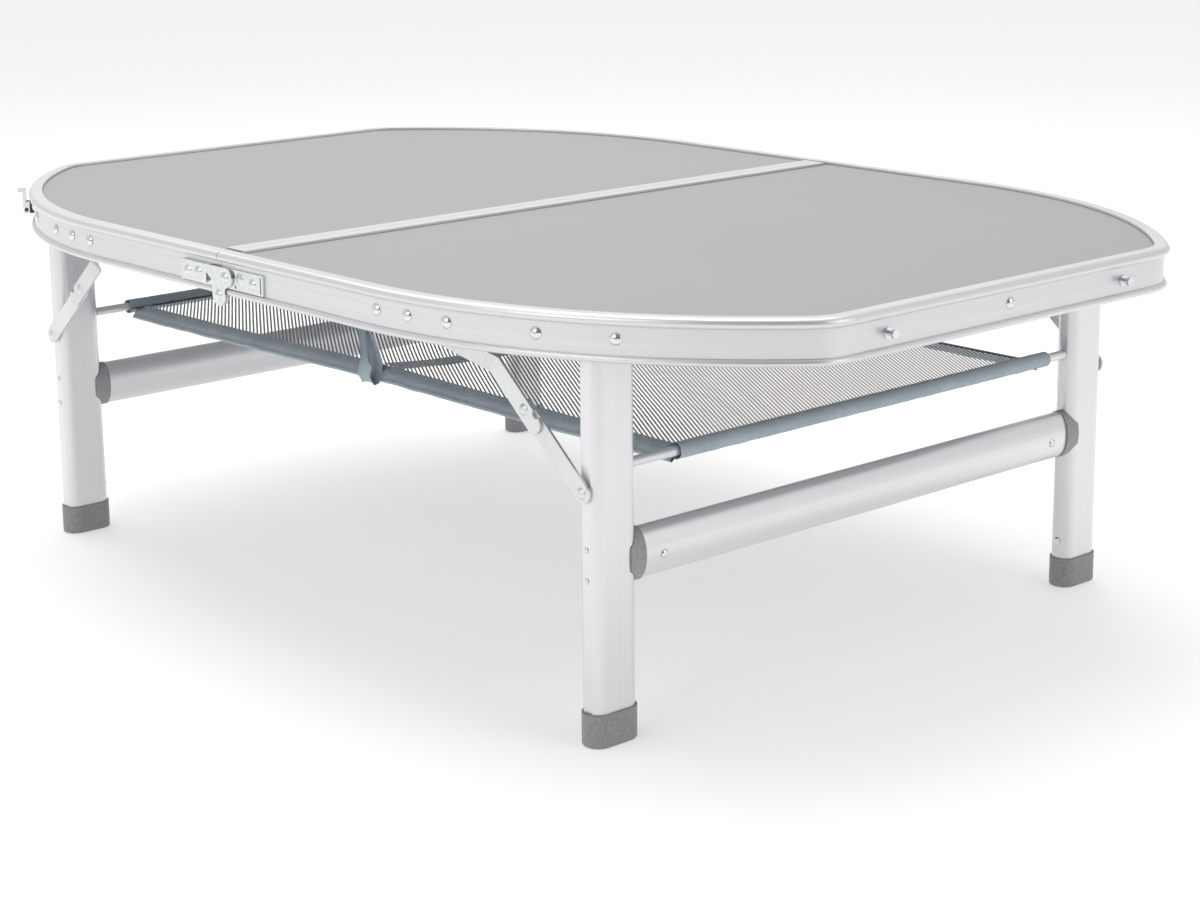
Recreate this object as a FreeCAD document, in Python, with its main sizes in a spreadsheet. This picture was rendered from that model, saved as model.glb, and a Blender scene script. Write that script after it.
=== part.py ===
import FreeCAD, Part
import math
import os
import Sketcher
from FreeCAD import Placement, Rotation, Vector

doc = FreeCAD.newDocument("camping_table")
sheet = doc.addObject("Spreadsheet::Sheet", "sizes")

# driving sizes in millimetres and degrees, X along the table, Y across it, Z up
drivingSizes = [
    ("topHeight", 378.0),         # floor to the top of the rim lip
    ("halfLength", 600.0),        # seam to the end of one half
    ("halfWidth", 410.0),         # centre line to the widest part of the rim
    ("sideStraight", 222.0),      # straight stretch of the long side beside the seam
    ("sideRadius", 475.0),        # bowed stretch of the long side
    ("cornerRadius", 60.0),       # corner between the bowed side and the straight end
    ("seamGap", 0.4),             # each half stops this far from the seam plane
    ("rimHeight", 40.0),
    ("lipWidth", 14.0),
    ("lipThick", 2.5),
    ("beadRadius", 4.75),         # round bead along the upper outer edge
    ("wallInset", 5.0),           # wall lies this far behind the bead
    ("wallThick", 2.0),
    ("ledgeReach", 20.0),         # inner ledge under the panel, from the outermost edge
    ("ledgeThick", 1.5),
    ("lowBeadRadius", 3.25),
    ("lowBeadInset", 1.5),
    ("panelThick", 4.0),
    ("panelClear", 0.15),
    ("fieldRise", 0.5),           # open field of the panel above its edge under the lip
    ("fieldGap", 0.6),            # shadow line between the lip and the field
    ("railDepth", 30.0),          # web of the cross rail beside the seam
    ("legPlaceX", 430.0),
    ("legBack", 40.5),            # leg centre behind the outer face of the bowed wall
    ("legLong", 50.0),            # oval leg tube, long side across the table
    ("legThin", 25.0),
    ("tubeWall", 1.5),
    ("legFlat", 1.2),             # flat strip along the outer edge of the leg
    ("pivotDrop", 23.0),          # leg pivot below the top
    ("headRise", 12.0),           # leg tube above its pivot
    ("headCut", 6.0),             # cut corners of the leg head
    ("axleRadius", 4.0),
    ("bossRadius", 9.0),
    ("runClear", 0.06),           # running fit of the pins
    ("sideClear", 0.3),           # gap between faces that pass each other
    ("footGrow", 1.6),            # foot wall around the tube
    ("footHeight", 30.0),
    ("footSole", 6.0),
    ("barHeight", 160.0),         # crossbar centre above the floor
    ("barLong", 46.0),            # elliptical crossbar, long side upright
    ("barThin", 25.0),
    ("barShort", 6.5),            # crossbar ends this far before the leg
    ("capRise", 0.6),             # saddle cap past the crossbar, above and below
    ("capGrow", 1.7),             # saddle cap past the crossbar, front and back
    ("capOver", 11.0),            # saddle cap past the edge of the leg
    ("capDeep", 12.0),            # plug of the cap inside the crossbar
    ("rodHeight", 240.0),
    ("rodRadius", 4.5),
    ("stayDrop", 132.0),          # lower stay pivot below the leg pivot
    ("stayReach", 155.0),         # upper stay pivot from the leg pivot, towards the seam
    ("stayTopDrop", 21.0),        # upper stay pivot below the top
    ("stayWide", 18.0),
    ("stayThick", 2.5),
    ("stayTail", 24.0),           # upper link past the knee
    ("jogStart", 64.0),           # bent stretch of the upper link, from its pivot
    ("jogEnd", 15.0),
    ("blockLeast", 1.0),          # stay block at its thin end
    ("blockLong", 94.0),
    ("blockTall", 19.0),
    ("hangerLong", 82.0),
    ("hangerTall", 26.0),
    ("hangerShift", 4.0),
    ("rivetRadius", 5.5),
    ("rivetRise", 2.6),
    ("rivetDrop", 20.0),          # rivet line below the top
    ("pegInset", 44.6),           # peg before the end of the straight edge
    ("pegRadius", 2.6),
    ("pegLong", 9.0),
    ("leafThick", 2.0),
    ("leafLong", 62.0),
    ("leafTop", 14.0),            # upper edge of the hinge leaves below the top
    ("leafTall", 19.0),
    ("leafEnd", 69.0),            # far end of the back leaf from the seam
    ("earRadius", 10.5),
    ("noseRadius", 9.0),          # rounded nose of the front leaf over the back leaf
    ("noseReach", 13.0),
    ("bumpReach", 33.0),          # pressed bump of the back leaf beside the nose
    ("bumpRadius", 6.0),
    ("bumpRise", 1.8),
    ("pinDrop", 0.5),             # hinge pin below the lower edge of the rim
    ("hingePinRadius", 3.5),
    ("notchLong", 12.0),          # gap in the lower bead beside the seam
    ("latchShare", 0.72),         # place of the clips along the bowed side
    ("latchWide", 14.0),
    ("latchOut", 11.0),           # clip pivot in front of the wall
    ("latchDrop", 29.0),          # clip pivot below the top
    ("leverLong", 22.0),
    ("leverThick", 3.0),
    ("netShort", 40.7),           # net before the end of its rods
    ("netThick", 1.2),
    ("sleeveWall", 2.2),
    ("bindWide", 16.0),
    ("bindThick", 2.6),
    ("meshPitch", 41.0),          # grid of openings that stands for the mesh
    ("meshHole", 37.5),
    ("bandWide", 30.0),
    ("bandShift", 30.0),          # middle band towards the right half
    ("strapWide", 22.0),
    ("softClear", 0.35),
]
# sizes worked out from the driving ones
workedOutSizes = [
    ("rimBottom", "=topHeight - rimHeight"),
    ("pivotHeight", "=topHeight - pivotDrop"),
    ("panelTop", "=topHeight - lipThick - panelClear"),
    ("panelLow", "=panelTop - panelThick"),
    ("boardThick", "=panelThick - fieldRise"),
    ("boardTop", "=panelTop - fieldRise"),
    ("fieldInset", "=lipWidth + fieldGap"),
    ("fieldSeam", "=seamGap + fieldInset"),
    ("fieldEnd", "=halfLength - fieldInset"),
    ("fieldWide", "=halfWidth - fieldInset"),
    ("fieldRadius", "=sideRadius - fieldInset"),
    ("fieldCorner", "=cornerRadius - fieldInset"),
    ("bowMiddle", "=halfWidth - sideRadius"),
    ("wallRadius", "=sideRadius - wallInset"),
    ("discRadius", "=wallRadius - wallThick - panelClear"),
    ("endHalf",
     "=bowMiddle + sqrt((sideRadius - cornerRadius) ^ 2 - (halfLength - cornerRadius - sideStraight) ^ 2)"),
    ("pegPlaceY", "=endHalf - pegInset"),
    ("latchTurn",
     "=latchShare * asin((halfLength - cornerRadius - sideStraight) / (sideRadius - cornerRadius)) / 1 deg"),
    ("legPlaceY", "=bowMiddle + sqrt(wallRadius ^ 2 - (legPlaceX - sideStraight) ^ 2) - legBack"),
    ("blockEnd", "=legPlaceX - stayReach + blockLong / 2"),
    ("blockFace", "=bowMiddle + sqrt(discRadius ^ 2 - (blockEnd - sideStraight) ^ 2) - blockLeast"),
    ("ledgeTop", "=panelLow - panelClear"),
    ("ledgeLow", "=ledgeTop - ledgeThick"),
    ("beadIn", "=halfWidth - beadRadius"),
    ("beadLow", "=topHeight - 2 * beadRadius"),
    ("wallOut", "=halfWidth - wallInset"),
    ("wallIn", "=wallOut - wallThick"),
    ("lipIn", "=halfWidth - lipWidth"),
    ("ledgeIn", "=halfWidth - ledgeReach"),
    ("lipLow", "=topHeight - lipThick"),
    ("lowBeadIn", "=halfWidth - lowBeadInset - lowBeadRadius"),
    ("lowBeadTop", "=rimBottom + 2 * lowBeadRadius"),
    ("panelInset", "=wallInset + wallThick + 2 * panelClear"),
    ("panelSeam", "=seamGap + wallThick + 2 * panelClear"),
    ("panelEnd", "=halfLength - panelInset"),
    ("panelWide", "=halfWidth - panelInset"),
    ("panelRadius", "=sideRadius - panelInset"),
    ("panelCorner", "=cornerRadius - panelInset"),
    ("railWebIn", "=seamGap + wallThick"),
    ("railLipIn", "=seamGap + lipWidth"),
    ("railLedgeIn", "=seamGap + ledgeReach"),
    ("railBottom", "=topHeight - railDepth"),
    ("railLong", "=2 * (halfWidth - ledgeReach - sideClear)"),
    ("legRadius", "=legThin / 2"),
    ("legSpan", "=legLong - legThin"),
    ("boreRadius", "=legRadius - tubeWall"),
    ("legTop", "=pivotHeight + headRise"),
    ("headSide", "=legRadius + 1"),
    ("headInner", "=legRadius - headCut"),
    ("headShoulder", "=legTop - headCut"),
    ("headOver", "=legTop + 1"),
    ("legOuter", "=legPlaceY + legLong / 2"),
    ("legInner", "=legPlaceY - legLong / 2"),
    ("legHeight", "=legTop - footSole"),
    ("footRadius", "=legRadius + sideClear + footGrow"),
    ("socketRadius", "=legRadius + sideClear / 2"),
    ("socketDeep", "=footHeight - footSole"),
    ("barRadius", "=barThin / 2"),
    ("barReach", "=barLong / 2"),
    ("barEnd", "=legInner - barShort"),
    ("barLength", "=2 * barEnd"),
    ("capStart", "=barEnd + sideClear / 2"),
    ("capEnd", "=legInner + capOver"),
    ("rodLength", "=2 * (legInner - sideClear)"),
    ("netHalfWide", "=rodLength / 2 - netShort"),
    ("stayRise", "=stayDrop + pivotDrop - stayTopDrop"),
    ("stayOpen", "=sqrt(stayReach ^ 2 + stayRise ^ 2)"),
    ("stayShut", "=sqrt((stayReach - stayDrop) ^ 2 + (pivotDrop - stayTopDrop) ^ 2)"),
    ("upperLink", "=(stayOpen + stayShut) / 2"),
    ("lowerLink", "=(stayOpen - stayShut) / 2"),
    ("stayRadius", "=stayWide / 2"),
    ("stayHole", "=axleRadius + runClear"),
    ("lowerPlane", "=legOuter + 5 * sideClear"),
    ("upperPlane", "=lowerPlane + stayThick + sideClear"),
    ("jogOut", "=blockFace - sideClear - stayThick - upperPlane"),
    ("jogFrom", "=upperLink - jogStart"),
    ("jogTo", "=upperLink - jogEnd"),
    ("upperTip", "=upperLink + stayRadius"),
    ("jogOuter", "=jogOut + stayThick"),
    ("hangerFace", "=upperPlane + stayThick + 10 * sideClear"),
    ("leafBack", "=wallOut + sideClear / 2"),
    ("leafFront", "=leafBack + leafThick + sideClear"),
    ("pinHeight", "=rimBottom - pinDrop"),
    ("earReach", "=notchLong - 1"),
    ("leafHigh", "=topHeight - leafTop"),
    ("leafLow", "=leafHigh - leafTall"),
    ("leafOver", "=leafLow + 2"),
    ("noseHeight", "=leafHigh - noseRadius"),
    ("earSide", "=0.86 * earRadius"),
    ("earSideHeight", "=pinHeight - 0.5 * earRadius"),
    ("sleeveRadius", "=rodRadius + softClear + sleeveWall"),
    ("sleeveBore", "=rodRadius + softClear"),
    ("sleeveLong", "=2 * netHalfWide"),
    ("netEnd", "=legPlaceX - sleeveRadius - softClear"),
    ("netLength", "=2 * netEnd"),
    ("bindIn", "=netHalfWide - bindWide"),
    ("meshWide", "=2 * (bindIn - softClear)"),
    ("strapHigh", "=railBottom - softClear - rodHeight - bindThick / 2 - softClear"),
]
row = 1
for alias, amount in drivingSizes + workedOutSizes:
    sheet.set("A%d" % row, alias)
    sheet.set("B%d" % row, str(amount))
    sheet.setAlias("B%d" % row, alias)
    row += 1
doc.recompute()
finished = []


def size(alias):
    return float(sheet.get(alias))


def bind(thing, path, formula):
    thing.setExpression(path, formula)


def keep(thing, label):
    thing.Label = label
    finished.append(thing)
    return thing


# sketches whose points are bound to the sheet

def originPlane(body, role):
    for feature in body.Origin.OriginFeatures:
        if feature.Role == role:
            return feature


def newSketch(body, role, name, lift=None):
    sketch = body.newObject("Sketcher::SketchObject", name)
    sketch.AttachmentSupport = [(originPlane(body, role), "")]
    sketch.MapMode = "FlatFace"
    if lift:
        bind(sketch, "AttachmentOffset.Base.z", lift)
    return sketch


def signed(word):
    if word.startswith("-"):
        return -size(word[1:]), word[1:], True
    return size(word), word, False


def bindDistance(sketch, kind, geo, pos, word):
    if word == "0":
        axis = -2 if kind == "DistanceX" else -1
        sketch.addConstraint(Sketcher.Constraint("PointOnObject", geo, pos, axis))
        return
    amount, alias, negative = signed(word)
    if negative:
        index = sketch.addConstraint(Sketcher.Constraint(kind, geo, pos, -1, 1, -amount))
    else:
        index = sketch.addConstraint(Sketcher.Constraint(kind, -1, 1, geo, pos, amount))
    bind(sketch, "Constraints[%d]" % index, "sizes." + alias)


def place(word):
    return 0.0 if word == "0" else signed(word)[0]


def drawLoop(sketch, points):
    # each point is (x, y), or (x, y, centre x) where a half circle leads to the next point
    spots = [Vector(place(p[0]), place(p[1]), 0) for p in points]
    count = len(points)
    for i, point in enumerate(points):
        here = spots[i]
        there = spots[(i + 1) % count]
        if len(point) == 3:
            centre = Vector(place(point[2]), (here.y + there.y) / 2, 0)
            circle = Part.Circle(centre, Vector(0, 0, 1), abs(here.y - there.y) / 2)
            turn = math.pi / 2 if here.y > there.y else -math.pi / 2
            sketch.addGeometry(Part.ArcOfCircle(circle, turn, turn + math.pi), False)
        else:
            sketch.addGeometry(Part.LineSegment(here, there), False)
    for i, point in enumerate(points):
        sketch.addConstraint(Sketcher.Constraint("Coincident", i, 2, (i + 1) % count, 1))
        bindDistance(sketch, "DistanceX", i, 1, point[0])
        bindDistance(sketch, "DistanceY", i, 1, point[1])
        if len(point) == 3:
            bindDistance(sketch, "DistanceX", i, 3, point[2])


def drawOval(sketch, span, radius, upright):
    # two half circles joined by straight sides, centred on the sketch origin
    half = size(span) / 2
    reach = size(radius)
    across = Vector(0, 1, 0) if upright else Vector(1, 0, 0)
    side = Vector(across.y, -across.x, 0)
    turn = math.atan2(side.y, side.x)
    ends = []
    for sign in (1, -1):
        circle = Part.Circle(across * half * sign, Vector(0, 0, 1), reach)
        start = turn if sign > 0 else turn + math.pi
        ends.append(sketch.addGeometry(Part.ArcOfCircle(circle, start, start + math.pi), False))
    first, second = ends
    one = sketch.addGeometry(Part.LineSegment(sketch.getPoint(first, 2), sketch.getPoint(second, 1)), False)
    two = sketch.addGeometry(Part.LineSegment(sketch.getPoint(second, 2), sketch.getPoint(first, 1)), False)
    sketch.addConstraint(Sketcher.Constraint("Tangent", first, 2, one, 1))
    sketch.addConstraint(Sketcher.Constraint("Tangent", one, 2, second, 1))
    sketch.addConstraint(Sketcher.Constraint("Tangent", second, 2, two, 1))
    sketch.addConstraint(Sketcher.Constraint("Tangent", two, 2, first, 1))
    axis = -2 if upright else -1
    sketch.addConstraint(Sketcher.Constraint("PointOnObject", first, 3, axis))
    sketch.addConstraint(Sketcher.Constraint("Symmetric", first, 3, second, 3, -1, 1))
    kind = "DistanceY" if upright else "DistanceX"
    index = sketch.addConstraint(Sketcher.Constraint(kind, second, 3, first, 3, 2 * half))
    bind(sketch, "Constraints[%d]" % index, "sizes." + span)
    index = sketch.addConstraint(Sketcher.Constraint("Radius", first, reach))
    bind(sketch, "Constraints[%d]" % index, "sizes." + radius)


def drawCircle(sketch, x, y, radius):
    circle = Part.Circle(Vector(place(x), place(y), 0), Vector(0, 0, 1), size(radius))
    index = sketch.addGeometry(circle, False)
    bindDistance(sketch, "DistanceX", index, 3, x)
    bindDistance(sketch, "DistanceY", index, 3, y)
    which = sketch.addConstraint(Sketcher.Constraint("Radius", index, size(radius)))
    bind(sketch, "Constraints[%d]" % which, "sizes." + radius)


def drawHalfOutline(sketch, words, closed):
    # bowed half of the table top: words are seam, straight, width, end, radius, corner
    seam, straight, wide, end, radius, corner = [size(word) for word in words]
    centreY = wide - radius
    cornerX = end - corner
    cornerY = centreY + math.sqrt((radius - corner) ** 2 - (cornerX - straight) ** 2)
    meet = math.atan2(cornerY - centreY, cornerX - straight)
    up = Vector(0, 0, 1)
    lowSide = Part.LineSegment(Vector(seam, -wide, 0), Vector(straight, -wide, 0))
    lowArc = Part.ArcOfCircle(Part.Circle(Vector(straight, -centreY, 0), up, radius), -math.pi / 2, -meet)
    lowCorner = Part.ArcOfCircle(Part.Circle(Vector(cornerX, -cornerY, 0), up, corner), -meet, 0)
    endLine = Part.LineSegment(Vector(end, -cornerY, 0), Vector(end, cornerY, 0))
    highCorner = Part.ArcOfCircle(Part.Circle(Vector(cornerX, cornerY, 0), up, corner), 0, meet)
    highArc = Part.ArcOfCircle(Part.Circle(Vector(straight, centreY, 0), up, radius), meet, math.pi / 2)
    highSide = Part.LineSegment(Vector(straight, wide, 0), Vector(seam, wide, 0))
    for piece in (lowSide, lowArc, lowCorner, endLine, highCorner, highArc, highSide):
        sketch.addGeometry(piece, False)
    for i in range(6):
        sketch.addConstraint(Sketcher.Constraint("Tangent", i, 2, i + 1, 1))
    if closed:
        sketch.addGeometry(Part.LineSegment(Vector(seam, wide, 0), Vector(seam, -wide, 0)), False)
        sketch.addConstraint(Sketcher.Constraint("Coincident", 6, 2, 7, 1))
        sketch.addConstraint(Sketcher.Constraint("Coincident", 7, 2, 0, 1))
    bindDistance(sketch, "DistanceX", 0, 1, words[0])
    bindDistance(sketch, "DistanceY", 0, 1, "-" + words[2])
    bindDistance(sketch, "DistanceX", 0, 2, words[1])
    bindDistance(sketch, "DistanceX", 6, 2, words[0])
    bindDistance(sketch, "DistanceY", 6, 2, words[2])
    bindDistance(sketch, "DistanceX", 6, 1, words[1])
    sketch.addConstraint(Sketcher.Constraint("Horizontal", 0))
    sketch.addConstraint(Sketcher.Constraint("Horizontal", 6))
    sketch.addConstraint(Sketcher.Constraint("Vertical", 3))
    bindDistance(sketch, "DistanceX", 3, 1, words[3])
    for geo, word in ((1, words[4]), (5, words[4]), (2, words[5]), (4, words[5])):
        index = sketch.addConstraint(Sketcher.Constraint("Radius", geo, size(word)))
        bind(sketch, "Constraints[%d]" % index, "sizes." + word)


# features

def pad(body, sketch, name, length, middle=False, back=False):
    feature = body.newObject("PartDesign::Pad", name)
    feature.Profile = sketch
    bind(feature, "Length", "sizes." + length)
    feature.Midplane = middle
    feature.Reversed = back
    return feature


def pocketThrough(body, sketch, name):
    feature = body.newObject("PartDesign::Pocket", name)
    feature.Profile = sketch
    feature.Type = 1
    feature.Midplane = True
    return feature


def box(name, lengths, corner, turn=None):
    # lengths are formulas, corner holds numbers worked out from the sheet
    made = doc.addObject("Part::Box", name)
    for edge, formula in zip(("Length", "Width", "Height"), lengths):
        bind(made, edge, formula)
    made.Placement = Placement(Vector(*corner), turn or Rotation())
    return made


def cylinder(name, radius, height, base, axis):
    made = doc.addObject("Part::Cylinder", name)
    bind(made, "Radius", radius)
    bind(made, "Height", height)
    made.Placement = Placement(Vector(*base), Rotation(Vector(0, 0, 1), Vector(*axis)))
    return made


def dome(name, radius, rise, base, axis):
    # flat-based cap of a sphere: radius and rise are formulas
    made = doc.addObject("Part::Sphere", name)
    bind(made, "Radius", "(%s ^ 2 + %s ^ 2) / (2 * %s)" % (radius, rise, rise))
    bind(made, "Angle1", "asin(1 - %s * 2 * %s / (%s ^ 2 + %s ^ 2))" % (rise, rise, radius, rise))
    r = size(radius.split(".")[1])
    k = size(rise.split(".")[1])
    ball = (r * r + k * k) / (2 * k)
    along = Vector(*axis).normalize()
    centre = Vector(*base) - along * (ball - k)
    made.Placement = Placement(centre, Rotation(Vector(0, 0, 1), along))
    return made


def ellipseRod(name, reach, thin, length, start, way):
    # upright ellipse drawn out along Y, from a place on its axis
    ring = doc.addObject("Part::Ellipse", name + "_ring")
    bind(ring, "MajorRadius", reach)
    bind(ring, "MinorRadius", thin)
    upright = Rotation(Vector(0, 0, 1), Vector(1, 0, 0), Vector(0, 1, 0), "ZXY")
    ring.Placement = Placement(Vector(*start), upright)
    made = doc.addObject("Part::Extrusion", name)
    made.Base = ring
    made.DirMode = "Custom"
    made.Dir = Vector(0, way, 0)
    bind(made, "LengthFwd", length)
    made.Solid = True
    return made


def joined(name, pieces):
    made = doc.addObject("Part::MultiFuse", name)
    made.Shapes = pieces
    return made


def cutAway(name, base, tool):
    made = doc.addObject("Part::Cut", name)
    made.Base = base
    made.Tool = tool
    return made


def shared(name, first, second):
    made = doc.addObject("Part::Common", name)
    made.Base = first
    made.Tool = second
    return made


def halfTurn(side):
    return Placement(Vector(), Rotation(Vector(0, 0, 1), 0 if side > 0 else 180))


sides = (("left", -1), ("right", 1))
edges = (("near", -1), ("far", 1))


# table top: rim with its beads, panel and cross rail of each half

def makeRim(side, sign):
    body = doc.addObject("PartDesign::Body", "rimBody_" + side)
    path = newSketch(body, "XY_Plane", "rimPath_" + side, "sizes.topHeight")
    drawHalfOutline(path, ("seamGap", "sideStraight", "halfWidth", "halfLength", "sideRadius",
                           "cornerRadius"),
                    False)
    profile = newSketch(body, "YZ_Plane", "rimProfile_" + side, "sizes.seamGap")
    drawLoop(profile, [
        ("-lipIn", "topHeight"),
        ("-beadIn", "topHeight", "-beadIn"),
        ("-beadIn", "beadLow"),
        ("-wallOut", "beadLow"),
        ("-wallOut", "lowBeadTop"),
        ("-lowBeadIn", "lowBeadTop", "-lowBeadIn"),
        ("-lowBeadIn", "rimBottom"),
        ("-wallIn", "rimBottom"),
        ("-wallIn", "ledgeLow"),
        ("-ledgeIn", "ledgeLow"),
        ("-ledgeIn", "ledgeTop"),
        ("-wallIn", "ledgeTop"),
        ("-wallIn", "lipLow"),
        ("-lipIn", "lipLow"),
    ])
    doc.recompute()
    pipe = body.newObject("PartDesign::AdditivePipe", "rimSweep_" + side)
    pipe.Profile = profile
    pipe.Spine = path
    body.Tip = pipe
    body.Placement = halfTurn(sign)
    notches = []
    for edge, edgeSign in edges:
        deep = size("wallInset") + 1
        start = size("wallOut") if edgeSign > 0 else -size("wallOut") - deep
        left = -1 if sign > 0 else -size("notchLong")
        notch = box("rimNotch_%s_%s" % (side, edge),
                    ("sizes.notchLong + 1", "sizes.wallInset + 1", "2 * sizes.lowBeadRadius + 1.3"),
                    (left, start, size("rimBottom") - 1))
        notches.append(notch)
    rim = cutAway("rim_" + side, body, joined("rimNotches_" + side, notches))
    return keep(rim, "rim_" + side)


def makePanel(side, sign):
    body = doc.addObject("PartDesign::Body", "panelBody_" + side)
    sketch = newSketch(body, "XY_Plane", "panelShape_" + side, "sizes.panelLow")
    drawHalfOutline(sketch, ("panelSeam", "sideStraight", "panelWide", "panelEnd", "panelRadius",
                             "panelCorner"),
                    True)
    pad(body, sketch, "panelPad_" + side, "boardThick")
    doc.recompute()
    field = newSketch(body, "XY_Plane", "panelField_" + side, "sizes.boardTop")
    drawHalfOutline(field, ("fieldSeam", "sideStraight", "fieldWide", "fieldEnd", "fieldRadius",
                            "fieldCorner"),
                    True)
    body.Tip = pad(body, field, "panelFieldPad_" + side, "fieldRise")
    body.Placement = halfTurn(sign)
    return keep(body, "panel_" + side)


def makeSeamRail(side, sign):
    body = doc.addObject("PartDesign::Body", "railBody_" + side)
    sketch = newSketch(body, "XZ_Plane", "railProfile_" + side)
    drawLoop(sketch, [
        ("seamGap", "railBottom"),
        ("railWebIn", "railBottom"),
        ("railWebIn", "ledgeLow"),
        ("railLedgeIn", "ledgeLow"),
        ("railLedgeIn", "ledgeTop"),
        ("railWebIn", "ledgeTop"),
        ("railWebIn", "lipLow"),
        ("railLipIn", "lipLow"),
        ("railLipIn", "topHeight"),
        ("seamGap", "topHeight"),
    ])
    pad(body, sketch, "railPad_" + side, "railLong", middle=True)
    body.Placement = halfTurn(sign)
    return keep(body, "seam_rail_" + side)


# blocks inside the rim that carry the legs and the folding stays

def wallDisc(name, sign, edgeSign, low, tall):
    base = (sign * size("sideStraight"), edgeSign * size("bowMiddle"), low)
    return cylinder(name, "sizes.discRadius", tall, base, (0, 0, 1))


def makeHanger(side, sign, edge, edgeSign):
    name = "%s_%s" % (side, edge)
    low = size("pivotHeight") - size("hangerTall") / 2
    middle = size("legPlaceX") + size("hangerShift")
    start = sign * middle - size("hangerLong") / 2
    face = size("hangerFace")
    deep = size("halfWidth") - face
    block = box("hangerBox_" + name,
                ("sizes.hangerLong", "sizes.halfWidth - sizes.hangerFace", "sizes.hangerTall"),
                (start, face if edgeSign > 0 else -face - deep, low))
    # the block bends round the leg towards the outer rivet
    bridgeFace = size("legOuter") + 5 * size("sideClear")
    bridgeDeep = size("halfWidth") - bridgeFace
    bridgeLong = size("legRadius") + 8 - size("bossRadius") / 2
    bridgeStart = size("legPlaceX") + size("bossRadius") / 2
    bridge = box("hangerBridge_" + name,
                 ("sizes.legRadius + 8 - sizes.bossRadius / 2",
                  "sizes.halfWidth - sizes.legOuter - 5 * sizes.sideClear", "sizes.hangerTall"),
                 (bridgeStart if sign > 0 else -bridgeStart - bridgeLong,
                  bridgeFace if edgeSign > 0 else -bridgeFace - bridgeDeep, low))
    wingStart = size("legPlaceX") + size("legRadius") + 4
    wingLong = middle + size("hangerLong") / 2 - wingStart
    wingFace = size("legPlaceY") + size("legSpan") / 2
    wingDeep = size("halfWidth") - wingFace
    wing = box("hangerWing_" + name,
               ("sizes.hangerShift + sizes.hangerLong / 2 - sizes.legRadius - 4",
                "sizes.halfWidth - sizes.legPlaceY - sizes.legSpan / 2", "sizes.hangerTall"),
               (wingStart if sign > 0 else -wingStart - wingLong,
                wingFace if edgeSign > 0 else -wingFace - wingDeep, low))
    base = (sign * size("legPlaceX"), edgeSign * (face + 1), size("pivotHeight"))
    boss = cylinder("hangerBoss_" + name, "sizes.bossRadius",
                    "sizes.hangerFace + 1 - sizes.legOuter - sizes.sideClear + sizes.legFlat", base,
                    (0, -edgeSign, 0))
    axle = cylinder("hangerAxle_" + name, "sizes.axleRadius",
                    "sizes.hangerFace + 1 - sizes.legInner + 3", base, (0, -edgeSign, 0))
    nutBase = (base[0], edgeSign * (size("legInner") - size("sideClear")), base[2])
    nut = cylinder("hangerNut_" + name, "sizes.axleRadius + 3", "4", nutBase, (0, -edgeSign, 0))
    whole = joined("hangerWhole_" + name, [block, bridge, wing, boss, axle, nut])
    disc = wallDisc("hangerDisc_" + name, sign, edgeSign, low, "sizes.hangerTall")
    return keep(shared("leg_hanger_" + name, whole, disc), "leg_hanger_" + name)


def stayTop(sign):
    return sign * (size("legPlaceX") - size("stayReach")), size("topHeight") - size("stayTopDrop")


def makeStayBlock(side, sign, edge, edgeSign):
    name = "%s_%s" % (side, edge)
    pivotX, pivotZ = stayTop(sign)
    low = pivotZ - size("blockTall") / 2
    face = size("blockFace")
    deep = size("halfWidth") - face
    block = box("stayBox_" + name, ("sizes.blockLong", "sizes.halfWidth - sizes.blockFace",
                                    "sizes.blockTall"),
                (pivotX - size("blockLong") / 2, face if edgeSign > 0 else -face - deep, low))
    disc = wallDisc("stayDisc_" + name, sign, edgeSign, low, "sizes.blockTall")
    fitted = shared("stayFitted_" + name, block, disc)
    base = (pivotX, edgeSign * (face + 1), pivotZ)
    pin = cylinder("stayPin_" + name, "sizes.axleRadius", "sizes.stayThick + 2 * sizes.sideClear + 1.5",
                   base,
                   (0, -edgeSign, 0))
    headPlace = (pivotX, edgeSign * (face - size("stayThick") - 2 * size("sideClear")), pivotZ)
    head = dome("stayHead_" + name, "sizes.rivetRadius", "sizes.rivetRise", headPlace, (0, -edgeSign, 0))
    return keep(joined("stay_block_" + name, [fitted, pin, head]), "stay_block_" + name)


# rivet heads on the outside of the rim

def wallPoint(sign, edgeSign, along):
    # place on the outer face of the wall at a distance along X, and the outward direction there
    radius = size("wallRadius")
    turn = math.asin((along - size("sideStraight")) / radius)
    spot = Vector(sign * along, edgeSign * (size("bowMiddle") + radius * math.cos(turn)), 0)
    return spot, Vector(sign * math.sin(turn), edgeSign * math.cos(turn), 0)


def makeRimRivets(side, sign):
    heads = []
    middle = size("legPlaceX") + size("hangerShift")
    stayX = size("legPlaceX") - size("stayReach")
    spots = [stayX - size("blockLong") / 2 + 8, stayX, stayX + size("blockLong") / 2 - 3]
    spots += [middle - size("hangerLong") / 2 + 10, middle + size("hangerLong") / 2 - 10]
    for edge, edgeSign in edges:
        for number, along in enumerate(spots):
            spot, out = wallPoint(sign, edgeSign, along)
            spot = spot + out * size("panelClear")
            base = (spot.x, spot.y, size("topHeight") - size("rivetDrop"))
            heads.append(dome("rivet_%s_%s_%d" % (side, edge, number), "sizes.rivetRadius",
                              "sizes.rivetRise",
                              base, (out.x, out.y, 0)))
    endX = sign * (size("halfLength") - size("wallInset") + size("panelClear"))
    endPlace = (endX, 0, size("topHeight") - size("rivetDrop"))
    heads.append(dome("rivet_%s_end" % side, "sizes.rivetRadius", "sizes.rivetRise", endPlace,
                      (sign, 0, 0)))
    return keep(joined("rim_rivets_" + side, heads), "rim_rivets_" + side)


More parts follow.
